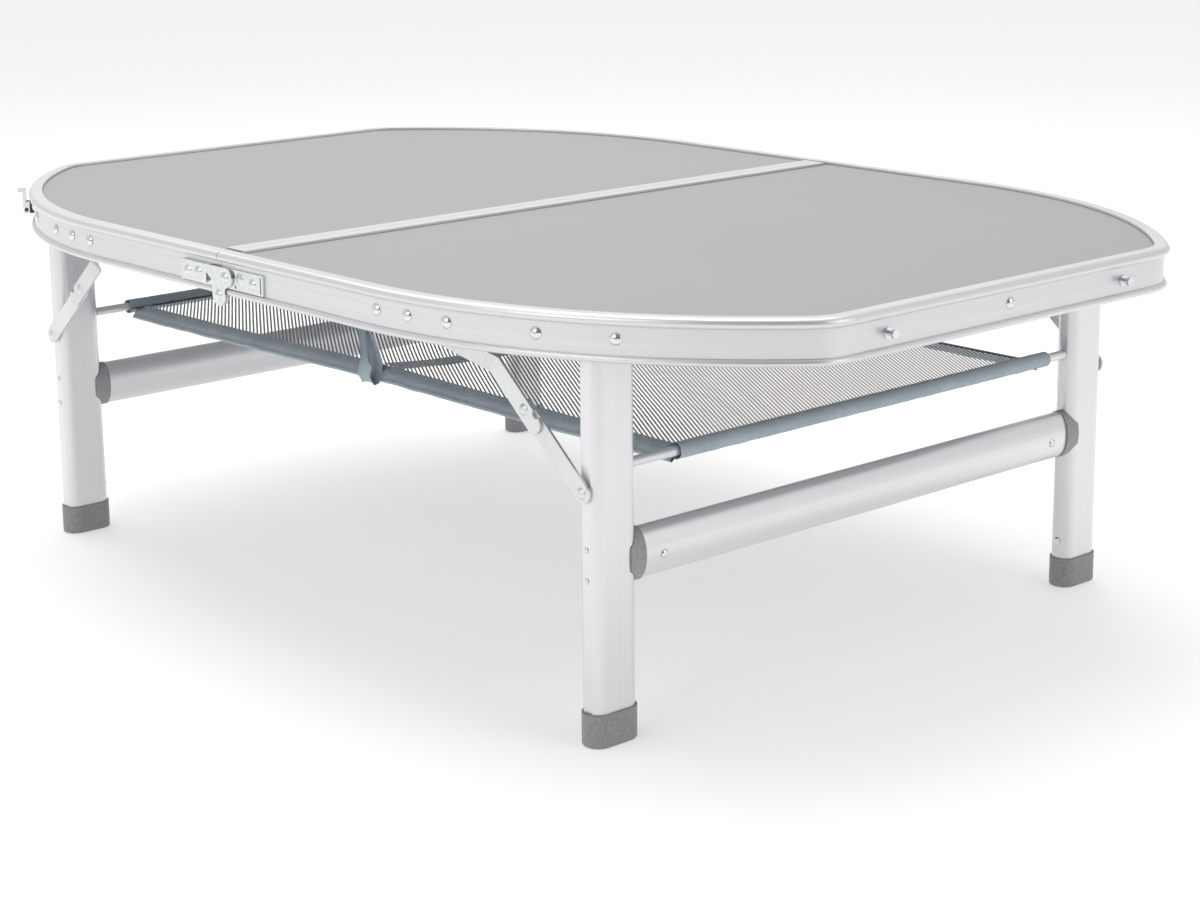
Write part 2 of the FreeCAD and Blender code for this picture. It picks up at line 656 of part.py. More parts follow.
def makeEndPegs(side, sign):
    pieces = []
    for edge, edgeSign in edges:
        name = "%s_%s" % (side, edge)
        face = size("halfLength") - size("wallInset") + size("panelClear")
        base = (sign * face, edgeSign * size("pegPlaceY"), size("topHeight") - size("rivetDrop") - 2)
        pieces.append(cylinder("pegFoot_" + name, "sizes.pegRadius + 2.2", "1.6", base, (sign, 0, 0)))
        pieces.append(cylinder("pegStem_" + name, "sizes.pegRadius", "sizes.pegLong", base, (sign, 0, 0)))
        tip = (sign * (face + size("pegLong") - 2.4), base[1], base[2])
        pieces.append(cylinder("pegHead_" + name, "sizes.pegRadius + 1.1", "2.4", tip, (sign, 0, 0)))
    return keep(joined("end_pegs_" + side, pieces), "end_pegs_" + side)


# seam hinges: the left leaf stands in front of the right leaf

def leafWeb(name, edgeSign, inner, points):
    # plate between the pin ear and the rest of a leaf, drawn in the plane of the leaf
    body = doc.addObject("PartDesign::Body", name)
    shape = newSketch(body, "XZ_Plane", name + "_shape")
    drawLoop(shape, points)
    pad(body, shape, name + "_pad", "leafThick", back=edgeSign > 0)
    body.Placement = Placement(Vector(0, edgeSign * inner, 0), Rotation())
    return body


def makeFrontLeaf(edge, edgeSign):
    top = size("leafHigh")
    low = size("leafLow")
    thick = size("leafThick")
    front = size("leafFront")
    back = size("leafBack")
    outward = (0, edgeSign, 0)

    def alongY(inner, depth):
        return inner if edgeSign > 0 else -inner - depth

    plate = box("frontPlate_" + edge,
                ("sizes.leafLong + sizes.noseReach", "sizes.leafThick", "sizes.leafTall"),
                (-size("leafLong"), alongY(front, thick), low))
    standoff = box("frontStandoff_" + edge,
                   ("sizes.leafLong - sizes.notchLong - 4", "sizes.leafFront - sizes.leafBack",
                    "sizes.leafTall"),
                   (-size("leafLong"), alongY(back, front - back), low))
    ear = cylinder("frontEar_" + edge, "sizes.earRadius", "sizes.leafThick",
                   (0, edgeSign * front, size("pinHeight")), outward)
    nose = cylinder("frontNose_" + edge, "sizes.noseRadius", "sizes.leafThick",
                    (size("noseReach"), edgeSign * front, size("noseHeight")), outward)
    web = leafWeb("frontWeb_" + edge, edgeSign, front,
                  [("earReach", "leafOver"), ("-earReach", "leafOver"), ("-earSide", "earSideHeight"),
                   ("earSide", "earSideHeight")])
    window = doc.addObject("Part::Prism", "frontWindow_" + edge)
    window.Polygon = 3
    window.Circumradius = 6
    bind(window, "Height", "3 * sizes.leafThick")
    lay = Rotation(Vector(0, 0, 1), Vector(*outward))
    window.Placement = Placement(Vector(-17, edgeSign * (front - thick), low + 6), lay)
    pin = cylinder("hingePin_" + edge, "sizes.hingePinRadius",
                   "2 * sizes.leafThick + sizes.sideClear - 0.5",
                   (0, edgeSign * (front + thick - 0.5), size("pinHeight")), (0, -edgeSign, 0))
    outer = edgeSign * (front + thick)
    places = ((-51, top - 10), (-33, top - 9), (11, top - 9), (0, size("pinHeight")))
    heads = []
    for number, (x, z) in enumerate(places):
        heads.append(dome("hingeHead_%s_%d" % (edge, number), "sizes.rivetRadius", "sizes.rivetRise",
                          (x, outer, z), outward))
    whole = joined("frontWhole_" + edge, [plate, standoff, ear, nose, web, pin] + heads)
    return keep(cutAway("hinge_front_leaf_" + edge, whole, window), "hinge_front_leaf_" + edge)


def makeBackLeaf(edge, edgeSign):
    top = size("leafHigh")
    low = size("leafLow")
    thick = size("leafThick")
    back = size("leafBack")
    startY = back if edgeSign > 0 else -back - thick
    outward = (0, edgeSign, 0)
    outer = edgeSign * (back + thick)
    plate = box("backPlate_" + edge, ("sizes.leafEnd - 1", "sizes.leafThick", "sizes.leafTall"),
                (1, startY, low))
    ear = cylinder("backEar_" + edge, "sizes.earRadius", "sizes.leafThick",
                   (0, edgeSign * back, size("pinHeight")), outward)
    web = leafWeb("backWeb_" + edge, edgeSign, back,
                  [("earReach", "leafOver"), ("0", "leafOver"), ("0", "pinHeight"),
                   ("earSide", "earSideHeight")])
    head = dome("backHead_" + edge, "sizes.rivetRadius", "sizes.rivetRise", (53, outer, top - 10), outward)
    bump = dome("backBump_" + edge, "sizes.bumpRadius", "sizes.bumpRise",
                (size("bumpReach"), outer, top - 8), outward)
    whole = joined("backWhole_" + edge, [plate, ear, web, head, bump])
    bore = cylinder("backBore_" + edge, "sizes.hingePinRadius + sizes.runClear", "2 * sizes.leafThick",
                    (0, edgeSign * (back - 1), size("pinHeight")), outward)
    hole = cylinder("backHole_" + edge, "1.6", "2 * sizes.leafThick",
                    (25, edgeSign * (back - 1), low + 3), outward)
    slot = box("backSlot_" + edge, ("1.8", "2 * sizes.leafThick", "sizes.leafTall - 4"),
               (size("leafEnd") - 4.5, startY - 1, low + 2))
    cuts = joined("backCuts_" + edge, [bore, hole, slot])
    return keep(cutAway("hinge_back_leaf_" + edge, whole, cuts), "hinge_back_leaf_" + edge)


# closing clips on the left half, at the bowed corners

def makeLatch(edge, edgeSign):
    along = size("sideStraight") + size("wallRadius") * math.sin(math.radians(size("latchTurn")))
    spot, out = wallPoint(-1, edgeSign, along)
    turn = Rotation(Vector(0, 1, 0), out)
    height = size("topHeight") - size("latchDrop")
    wide = size("latchWide")
    clear = size("panelClear")

    def at(x, y, z):
        return spot + turn.multVec(Vector(x, y + clear, 0)) + Vector(0, 0, height + z)

    block = box("latchBlock_" + edge, ("sizes.latchWide - 6", "sizes.latchOut + 3", "9.2"),
                at(-wide / 2 + 3, 0, -4.2), turn)
    foot = box("latchFoot_" + edge, ("sizes.latchWide + 4", "2", "11"), at(-wide / 2 - 2, 0, -4.2), turn)
    pinAxis = turn.multVec(Vector(1, 0, 0))
    pin = cylinder("latchPin_" + edge, "2", "sizes.latchWide + 2", at(-wide / 2 - 1, size("latchOut"), 0),
                   pinAxis)
    keep(joined("clip_base_" + edge, [block, foot, pin]), "clip_base_" + edge)
    arms = []
    for x in (-wide / 2, wide / 2 - 2.5):
        arms.append(box("leverArm_%s_%d" % (edge, x), ("2.5", "7", "12"),
                        at(x, size("latchOut") - 3.5, -3.5), turn))
    plate = box("leverPlate_" + edge, ("sizes.latchWide", "sizes.leverThick", "sizes.leverLong - 6"),
                at(-wide / 2, size("latchOut") + 0.5, 6), turn)
    hook = box("leverHook_" + edge, ("sizes.latchWide", "sizes.leverThick + 5", "2.5"),
               at(-wide / 2, size("latchOut") + 0.5, size("leverLong") - 2.5), turn)
    bore = cylinder("leverBore_" + edge, "2 + sizes.runClear", "sizes.latchWide + 8",
                    at(-wide / 2 - 4, size("latchOut"), 0), pinAxis)
    whole = joined("leverWhole_" + edge, arms + [plate, hook])
    keep(cutAway("clip_lever_" + edge, whole, bore), "clip_lever_" + edge)


# leg frames: oval legs, feet, crossbar with saddle caps, rod for the net

def makeLeg(side, sign, edge, edgeSign):
    name = "%s_%s" % (side, edge)
    body = doc.addObject("PartDesign::Body", "legBody_" + name)
    outer = newSketch(body, "XY_Plane", "legOuter_" + name, "sizes.footSole")
    drawOval(outer, "legSpan", "legRadius", True)
    pad(body, outer, "legPad_" + name, "legHeight")
    inner = newSketch(body, "XY_Plane", "legInner_" + name, "sizes.footSole")
    drawOval(inner, "legSpan", "boreRadius", True)
    doc.recompute()
    pocketThrough(body, inner, "legBore_" + name)
    corners = newSketch(body, "XZ_Plane", "legHead_" + name)
    drawLoop(corners, [("headInner", "headOver"), ("headInner", "legTop"), ("legRadius", "headShoulder"),
                       ("headSide", "headShoulder"), ("headSide", "headOver")])
    doc.recompute()
    pocketThrough(body, corners, "legHeadCut_" + name)
    mirrored = newSketch(body, "XZ_Plane", "legHeadBack_" + name)
    drawLoop(mirrored, [("-headInner", "headOver"), ("-headSide", "headOver"),
                        ("-headSide", "headShoulder"),
                        ("-legRadius", "headShoulder"), ("-headInner", "legTop")])
    doc.recompute()
    pocketThrough(body, mirrored, "legHeadBackCut_" + name)
    hole = newSketch(body, "XZ_Plane", "legAxleHole_" + name)
    drawCircle(hole, "0", "pivotHeight", "stayHole")
    doc.recompute()
    body.Tip = pocketThrough(body, hole, "legAxleBore_" + name)
    body.Placement = Placement(Vector(sign * size("legPlaceX"), edgeSign * size("legPlaceY"), 0),
                               Rotation())
    flat = size("legOuter") - size("legFlat")
    strip = box("legStrip_" + name, ("sizes.legThin", "sizes.legFlat + 1", "sizes.topHeight"),
                (sign * size("legPlaceX") - size("legRadius"),
                 flat if edgeSign > 0 else -flat - size("legFlat") - 1, 0))
    return keep(cutAway("leg_" + name, body, strip), "leg_" + name)


def makeFoot(side, sign, edge, edgeSign):
    name = "%s_%s" % (side, edge)
    body = doc.addObject("PartDesign::Body", "footBody_" + name)
    outer = newSketch(body, "XY_Plane", "footOuter_" + name)
    drawOval(outer, "legSpan", "footRadius", True)
    pad(body, outer, "footPad_" + name, "footHeight")
    socket = newSketch(body, "XY_Plane", "footSocket_" + name, "sizes.footHeight")
    drawOval(socket, "legSpan", "socketRadius", True)
    doc.recompute()
    cut = body.newObject("PartDesign::Pocket", "footCut_" + name)
    cut.Profile = socket
    bind(cut, "Length", "sizes.socketDeep")
    doc.recompute()
    soleEdges = ["Edge%d" % (i + 1) for i, line in enumerate(cut.Shape.Edges)
                 if line.BoundBox.ZMax < 0.001]
    rounding = body.newObject("PartDesign::Fillet", "footRound_" + name)
    rounding.Base = (cut, soleEdges)
    rounding.Radius = 2.5
    body.Tip = rounding
    body.Placement = Placement(Vector(sign * size("legPlaceX"), edgeSign * size("legPlaceY"), 0),
                               Rotation())
    return keep(body, "foot_" + name)


def makeCrossbar(side, sign):
    start = (sign * size("legPlaceX"), -size("barEnd"), size("barHeight"))
    outer = ellipseRod("barOuter_" + side, "sizes.barReach", "sizes.barRadius", "sizes.barLength", start, 1)
    inner = ellipseRod("barInner_" + side, "sizes.barReach - sizes.tubeWall",
                       "sizes.barRadius - sizes.tubeWall",
                       "sizes.barLength", start, 1)
    return keep(cutAway("crossbar_" + side, outer, inner), "crossbar_" + side)


def makeSaddleCap(side, sign, edge, edgeSign):
    # collar in line with the crossbar, scooped to sit round the leg, with a plug inside the crossbar
    name = "%s_%s" % (side, edge)
    legX = sign * size("legPlaceX")
    collarStart = (legX, edgeSign * size("capStart"), size("barHeight"))
    collar = ellipseRod("capCollar_" + name, "sizes.barReach + sizes.capRise",
                        "sizes.barRadius + sizes.capGrow",
                        "sizes.capEnd - sizes.capStart", collarStart, edgeSign)
    plugStart = (legX, edgeSign * (size("barEnd") - size("capDeep")), size("barHeight"))
    plug = ellipseRod("capPlug_" + name, "sizes.barReach - sizes.tubeWall - sizes.sideClear / 2",
                      "sizes.barRadius - sizes.tubeWall - sizes.sideClear / 2",
                      "sizes.capDeep + sizes.sideClear", plugStart, edgeSign)
    legBody = doc.addObject("PartDesign::Body", "capLegBody_" + name)
    around = newSketch(legBody, "XY_Plane", "capLeg_" + name)
    drawOval(around, "legSpan", "socketRadius", True)
    pad(legBody, around, "capLegPad_" + name, "topHeight")
    legBody.Placement = Placement(Vector(legX, edgeSign * size("legPlaceY"), 0), Rotation())
    whole = joined("capWhole_" + name, [collar, plug])
    return keep(cutAway("saddle_cap_" + name, whole, legBody), "saddle_cap_" + name)


def makeRod(side, sign):
    base = (sign * size("legPlaceX"), -size("rodLength") / 2, size("rodHeight"))
    return keep(cylinder("net_rod_" + side, "sizes.rodRadius", "sizes.rodLength", base, (0, 1, 0)),
                "net_rod_" + side)


def makeFrameFasteners(side, sign):
    pieces = []
    clear = size("panelClear")
    for edge, edgeSign in edges:
        legX = sign * size("legPlaceX")
        for number, rise in enumerate((-13.5, 13.5)):
            base = (legX, edgeSign * (size("legOuter") - size("legFlat") + clear), size("barHeight") + rise)
            pieces.append(dome("legRivet_%s_%s_%d" % (side, edge, number), "sizes.pegRadius",
                               "sizes.footGrow",
                               base, (0, edgeSign, 0)))
        button = (legX, edgeSign * (size("legInner") - clear), 48)
        pieces.append(dome("snapButton_%s_%s" % (side, edge), "sizes.axleRadius", "sizes.footGrow", button,
                           (0, -edgeSign, 0)))
        screw = (legX + sign * (size("barRadius") + clear),
                 edgeSign * (size("barEnd") - size("capDeep") - 10),
                 size("barHeight") - 3)
        pieces.append(dome("barScrew_%s_%s" % (side, edge), "sizes.axleRadius", "sizes.footGrow", screw,
                           (sign, 0, 0)))
    return keep(joined("frame_fasteners_" + side, pieces), "frame_fasteners_" + side)


# folding stays: two flat links with a knee rivet, on the outer edge of each leg

def stayPlacement(sign, edgeSign, fromKnee, plane):
    # link sketches lie along local X, which points from the leg to the upper pivot
    legX = sign * size("legPlaceX")
    foot = Vector(legX, 0, size("pivotHeight") - size("stayDrop"))
    topX, topZ = stayTop(sign)
    along = Vector(topX, 0, topZ) - foot
    along.normalize()
    spot = foot + along * (size("lowerLink") if fromKnee else 0)
    spot.y = edgeSign * size(plane)
    out = Vector(0, edgeSign, 0)
    return Placement(spot, Rotation(along, out, along.cross(out), "XYZ"))


def makeLowerLink(side, sign, edge, edgeSign):
    name = "%s_%s" % (side, edge)
    body = doc.addObject("PartDesign::Body", "lowerBody_" + name)
    strip = newSketch(body, "XZ_Plane", "lowerShape_" + name)
    drawOval(strip, "lowerLink", "stayRadius", False)
    pad(body, strip, "lowerPad_" + name, "stayThick", back=True)
    spot = stayPlacement(sign, edgeSign, False, "lowerPlane")
    middle = spot.multVec(Vector(size("lowerLink") / 2, 0, 0))
    body.Placement = Placement(middle, spot.Rotation)
    knee = spot.multVec(Vector(size("lowerLink"), -1, 0))
    out = Vector(0, edgeSign, 0)
    bore = cylinder("lowerBore_" + name, "sizes.stayHole", "sizes.stayThick + 2", knee, out)
    pierced = cutAway("lowerPierced_" + name, body, bore)
    foot = spot.multVec(Vector(0, size("stayThick"), 0))
    head = dome("lowerHead_" + name, "sizes.rivetRadius", "sizes.rivetRise", foot, out)
    washer = cylinder("lowerWasher_" + name, "sizes.rivetRadius - 0.5",
                      "4 * sizes.sideClear + sizes.legFlat",
                      spot.Base, out * -1)
    return keep(joined("lower_link_" + name, [pierced, head, washer]), "lower_link_" + name)


def makeUpperLink(side, sign, edge, edgeSign):
    name = "%s_%s" % (side, edge)
    body = doc.addObject("PartDesign::Body", "upperBody_" + name)
    strip = newSketch(body, "XY_Plane", "upperShape_" + name)
    drawLoop(strip, [("-stayTail", "0"), ("jogFrom", "0"), ("jogTo", "jogOut"), ("upperTip", "jogOut"),
                     ("upperTip", "jogOuter"), ("jogTo", "jogOuter"), ("jogFrom", "stayThick"),
                     ("-stayTail", "stayThick")])
    strap = pad(body, strip, "upperPad_" + name, "stayWide", middle=True)
    doc.recompute()
    tail = -size("stayTail")
    tip = size("upperTip")
    ends = []
    for i, line in enumerate(strap.Shape.Edges):
        bounds = line.BoundBox
        atEnd = abs(bounds.Center.x - tail) < 0.01 or abs(bounds.Center.x - tip) < 0.01
        if atEnd and bounds.YLength > 1 and bounds.ZLength < 0.01 and bounds.XLength < 0.01:
            ends.append("Edge%d" % (i + 1))
    rounding = body.newObject("PartDesign::Fillet", "upperRound_" + name)
    rounding.Base = (strap, ends)
    bind(rounding, "Radius", "sizes.stayRadius - 0.5")
    body.Tip = rounding
    spot = stayPlacement(sign, edgeSign, True, "upperPlane")
    body.Placement = spot
    out = Vector(0, edgeSign, 0)
    top = spot.multVec(Vector(size("upperLink"), size("jogOut") - 1, 0))
    bore = cylinder("upperBore_" + name, "sizes.stayHole", "sizes.stayThick + 2", top, out)
    notch = cylinder("upperNotch_" + name, "4", "sizes.stayThick + 2",
                     spot.multVec(Vector(-12, -1, -sign * edgeSign * size("stayRadius"))), out)
    pierced = cutAway("upperPierced_" + name, body, joined("upperCuts_" + name, [bore, notch]))
    outer = spot.multVec(Vector(0, size("stayThick"), 0))
    head = dome("kneeHead_" + name, "sizes.rivetRadius", "sizes.rivetRise",
                outer, out)
    pin = cylinder("kneePin_" + name, "sizes.axleRadius", "sizes.stayThick + 2 * sizes.sideClear",
                   spot.Base, out * -1)
    return keep(joined("upper_link_" + name, [pierced, head, pin]), "upper_link_" + name)


# net under the table: rod sleeves, open mesh, side bindings, middle band and two straps

def makeSleeve(side, sign):
    base = (sign * size("legPlaceX"), -size("netHalfWide"), size("rodHeight"))
    outer = cylinder("sleeveOuter_" + side, "sizes.sleeveRadius", "sizes.sleeveLong", base, (0, 1, 0))
    inner = cylinder("sleeveInner_" + side, "sizes.sleeveBore", "sizes.sleeveLong", base, (0, 1, 0))
    return keep(cutAway("net_sleeve_" + side, outer, inner), "net_sleeve_" + side)


def makeMesh():
    cloth = box("meshCloth", ("sizes.netLength", "sizes.meshWide", "sizes.netThick"),
                (-size("netEnd"), -size("meshWide") / 2, size("rodHeight") - size("netThick") / 2))
    pitch = size("meshPitch")
    columns = int((size("netEnd") - size("bandWide") / 2 - 8) / pitch)
    rows = int(size("meshWide") / pitch / 2)
    holes = []
    for side, sign in sides:
        for column in range(columns):
            middle = sign * (size("bandWide") / 2 + 6 + pitch * (column + 0.5))
            holes.append(box("meshSlot_%s_%d" % (side, column), ("sizes.meshHole", "sizes.meshWide - 12",
                                                                 "4"),
                             (middle - size("meshHole") / 2, -size("meshWide") / 2 + 6,
                              size("rodHeight") - 2)))
    open_ = cutAway("meshOpen", cloth, joined("meshSlots", holes))
    ribs = []
    for number in range(rows):
        across = (number - (rows - 1) / 2) * size("meshWide") / rows
        ribs.append(box("meshRib_%d" % number, ("sizes.netLength", "3", "sizes.netThick"),
                        (-size("netEnd"), across - 1.5, size("rodHeight") - size("netThick") / 2)))
    return keep(joined("net_mesh", [open_] + ribs), "net_mesh")


def makeBinding(edge, edgeSign):
    start = size("bindIn") if edgeSign > 0 else -size("netHalfWide")
    strip = box("net_binding_" + edge, ("sizes.netLength", "sizes.bindWide", "sizes.bindThick"),
                (-size("netEnd"), start, size("rodHeight") - size("bindThick") / 2))
    return keep(strip, "net_binding_" + edge)


def makeBand():
    low = size("rodHeight") + size("netThick") / 2 + size("softClear")
    strip = box("net_middle_band", ("sizes.bandWide", "sizes.meshWide", "1"),
                (size("bandShift") - size("bandWide") / 2, -size("meshWide") / 2, low))
    return keep(strip, "net_middle_band")


def makeStrap(edge, edgeSign):
    middle = edgeSign * (size("bindIn") + size("bindWide") / 2)
    strip = box("net_strap_" + edge, ("1.6", "sizes.strapWide", "sizes.strapHigh"),
                (-size("seamGap") - 1.8, middle - size("strapWide") / 2,
                 size("rodHeight") + size("bindThick") / 2 + size("softClear")))
    return keep(strip, "net_strap_" + edge)


for side, sign in sides:
    makeRim(side, sign)
    makePanel(side, sign)
    makeSeamRail(side, sign)
    makeRimRivets(side, sign)
    makeEndPegs(side, sign)
    makeCrossbar(side, sign)
    makeRod(side, sign)
    makeFrameFasteners(side, sign)
    makeSleeve(side, sign)
    for edge, edgeSign in edges:
        makeHanger(side, sign, edge, edgeSign)
        makeStayBlock(side, sign, edge, edgeSign)
        makeLeg(side, sign, edge, edgeSign)
        makeFoot(side, sign, edge, edgeSign)
        makeSaddleCap(side, sign, edge, edgeSign)
        makeLowerLink(side, sign, edge, edgeSign)
        makeUpperLink(side, sign, edge, edgeSign)
for edge, edgeSign in edges:
    makeFrontLeaf(edge, edgeSign)
    makeBackLeaf(edge, edgeSign)
    makeLatch(edge, edgeSign)
    makeBinding(edge, edgeSign)
    makeStrap(edge, edgeSign)
makeMesh()
makeBand()
doc.recompute()

# every object is sound before its file is written
for thing in doc.Objects:
    if "Invalid" in thing.State or "Error" in thing.State:
        raise RuntimeError("not built: " + thing.Name)
os.makedirs("parts", exist_ok=True)
for thing in finished:
    if thing.Shape.isNull() or not thing.Shape.isValid():
        raise RuntimeError("bad shape: " + thing.Label)
    thing.Shape.exportStep("parts/%s.step" % thing.Label)
    bounds = thing.Shape.optimalBoundingBox()
    print("%s volume %.0f x %.1f %.1f y %.1f %.1f z %.1f %.1f" % (
        thing.Label, thing.Shape.Volume, bounds.XMin, bounds.XMax, bounds.YMin, bounds.YMax, bounds.ZMin,
                                                                  bounds.ZMax))
print("pieces", len(finished))
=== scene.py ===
import math

import bpy
from mathutils import Matrix, Vector, noise


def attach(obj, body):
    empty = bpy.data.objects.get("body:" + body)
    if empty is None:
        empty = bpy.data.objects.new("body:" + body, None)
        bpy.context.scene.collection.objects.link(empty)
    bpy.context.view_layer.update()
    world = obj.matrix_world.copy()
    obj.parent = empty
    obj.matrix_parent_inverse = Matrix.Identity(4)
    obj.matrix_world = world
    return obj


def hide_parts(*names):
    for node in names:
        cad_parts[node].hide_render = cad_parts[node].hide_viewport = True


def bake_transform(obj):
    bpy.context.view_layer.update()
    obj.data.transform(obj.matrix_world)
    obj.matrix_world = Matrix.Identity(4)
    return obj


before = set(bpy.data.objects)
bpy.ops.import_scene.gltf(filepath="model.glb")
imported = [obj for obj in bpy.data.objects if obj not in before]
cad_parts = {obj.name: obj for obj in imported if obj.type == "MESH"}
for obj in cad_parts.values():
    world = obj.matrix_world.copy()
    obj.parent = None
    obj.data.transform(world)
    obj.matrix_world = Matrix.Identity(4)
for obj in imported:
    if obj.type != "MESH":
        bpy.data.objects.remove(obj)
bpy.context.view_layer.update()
scene = bpy.context.scene
print("frame loaded:", len(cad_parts), "nodes")


# node helpers

def addNode(tree, kind, wires=None, **settings):
    node = tree.nodes.new("ShaderNode" + kind)
    for key, value in settings.items():
        setattr(node, key, value)
    for key, value in (wires or {}).items():
        if isinstance(value, bpy.types.NodeSocket):
            tree.links.new(value, node.inputs[key])
        else:
            node.inputs[key].default_value = value
    return node


def mathNode(tree, operation, first, second=0.0):
    return addNode(tree, "Math", {0: first, 1: second}, operation=operation).outputs[0]


def mixColour(tree, share, low, high):
    node = tree.nodes.new("ShaderNodeMix")
    node.data_type = "RGBA"
    for index, value in ((0, share), (6, low), (7, high)):
        if isinstance(value, bpy.types.NodeSocket):
            tree.links.new(value, node.inputs[index])
        else:
            node.inputs[index].default_value = value
    return node.outputs[2]


def spread(tree, value, fromLow, fromHigh, toLow, toHigh):
    wires = {0: value, 1: fromLow, 2: fromHigh, 3: toLow, 4: toHigh}
    return addNode(tree, "MapRange", wires, clamp=True).outputs[0]


def newGroup(name, inputs, outputs):
    group = bpy.data.node_groups.new(name, "ShaderNodeTree")
    for label, kind, value in inputs:
        socket = group.interface.new_socket(name=label, in_out="INPUT", socket_type="NodeSocket" + kind)
        if value is not None:
            socket.default_value = value
    for label, kind in outputs:
        group.interface.new_socket(name=label, in_out="OUTPUT", socket_type="NodeSocket" + kind)
    return group, group.nodes.new("NodeGroupInput").outputs, group.nodes.new("NodeGroupOutput").inputs


def putGroup(tree, group, wires):
    node = tree.nodes.new("ShaderNodeGroup")
    node.node_tree = group
    for key, value in wires.items():
        if isinstance(value, bpy.types.NodeSocket):
            tree.links.new(value, node.inputs[key])
        else:
            node.inputs[key].default_value = value
    return node.outputs


# shared effects

def buildEdgeWear():
    group, given, out = newGroup("edgeWear", [("Radius", "Float", 0.0008)],
                                 [("Mask", "Float"), ("Normal", "Vector")])
    soft = addNode(group, "Bevel", {"Radius": given["Radius"]}, samples=4).outputs[0]
    flat = addNode(group, "NewGeometry").outputs["Normal"]
    along = addNode(group, "VectorMath", {0: soft, 1: flat}, operation="DOT_PRODUCT").outputs["Value"]
    place = addNode(group, "TexCoord").outputs["Object"]
    patches = addNode(group, "TexNoise", {"Vector": place, "Scale": 60.0, "Detail": 3.0}).outputs["Fac"]
    worn = spread(group, along, 0.995, 0.86, 0.0, 1.0)
    patchy = spread(group, patches, 0.42, 0.62, 0.25, 1.0)
    group.links.new(mathNode(group, "MULTIPLY", worn, patchy), out["Mask"])
    group.links.new(soft, out["Normal"])
    return group


def buildDrawnGrain():
    inputs = [("Stretch", "Vector", (1.0, 1.0, 1.0)), ("Scale", "Float", 900.0)]
    group, given, out = newGroup("drawnGrain", inputs, [("Lines", "Float"), ("Clouds", "Float")])
    place = addNode(group, "TexCoord").outputs["Object"]
    pulled = addNode(group, "VectorMath", {0: place, 1: given["Stretch"]}, operation="MULTIPLY").outputs[0]
    fine = addNode(group, "TexNoise", {"Vector": pulled, "Scale": given["Scale"],
                                       "Detail": 4.0}).outputs["Fac"]
    wide = mathNode(group, "MULTIPLY", given["Scale"], 0.21)
    coarse = addNode(group, "TexNoise", {"Vector": pulled, "Scale": wide, "Detail": 2.0}).outputs["Fac"]
    lines = mathNode(group, "ADD", mathNode(group, "MULTIPLY", fine, 0.6),
                     mathNode(group, "MULTIPLY", coarse, 0.4))
    clouds = addNode(group, "TexNoise", {"Vector": place, "Scale": 9.0, "Detail": 4.0,
                                         "Roughness": 0.6}).outputs["Fac"]
    group.links.new(lines, out["Lines"])
    group.links.new(clouds, out["Clouds"])
    return group


def buildMouldGrain():
    group, given, out = newGroup("mouldGrain", [("Scale", "Float", 1400.0)],
                                 [("Tone", "Float"), ("Scuff", "Float"), ("Height", "Float")])
    place = addNode(group, "TexCoord").outputs["Object"]
    pebbles = addNode(group, "TexVoronoi", {"Vector": place, "Scale": given["Scale"]}).outputs["Distance"]
    speck = addNode(group, "TexNoise", {"Vector": place, "Scale": 320.0, "Detail": 5.0}).outputs["Fac"]
    rubs = addNode(group, "TexNoise", {"Vector": place, "Scale": 45.0, "Detail": 6.0,
                                       "Roughness": 0.7}).outputs["Fac"]
    group.links.new(speck, out["Tone"])
    group.links.new(spread(group, rubs, 0.52, 0.72, 0.0, 1.0), out["Scuff"])
    group.links.new(mathNode(group, "ADD", pebbles, mathNode(group, "MULTIPLY", speck, 0.6)), out["Height"])
    return group


def buildWeave():
    inputs = [("Vector", "Vector", None), ("Pitch", "Float", 0.0011)]
    group, given, out = newGroup("plainWeave", inputs,
                                 [("Height", "Float"), ("Tone", "Float")])
    parts = addNode(group, "SeparateXYZ", {0: given["Vector"]}).outputs
    turn = mathNode(group, "DIVIDE", math.pi, given["Pitch"])
    warp = mathNode(group, "SINE", mathNode(group, "MULTIPLY", parts[0], turn))
    weft = mathNode(group, "SINE", mathNode(group, "MULTIPLY", parts[1], turn))
    over = mathNode(group, "GREATER_THAN", mathNode(group, "MULTIPLY", warp, weft), 0.0)
    warpRise = mathNode(group, "ABSOLUTE", warp)
    weftRise = mathNode(group, "ABSOLUTE", weft)
    rise = addNode(group, "Mix", {0: over, 2: warpRise, 3: weftRise}, data_type="FLOAT").outputs[0]
    slubs = addNode(group, "TexNoise", {"Vector": given["Vector"], "Scale": 160.0,
                                        "Detail": 4.0}).outputs["Fac"]
    group.links.new(rise, out["Height"])
    group.links.new(mathNode(group, "MULTIPLY", rise, spread(group, slubs, 0.3, 0.7, 0.72, 1.0)), out["Tone"])
    return group


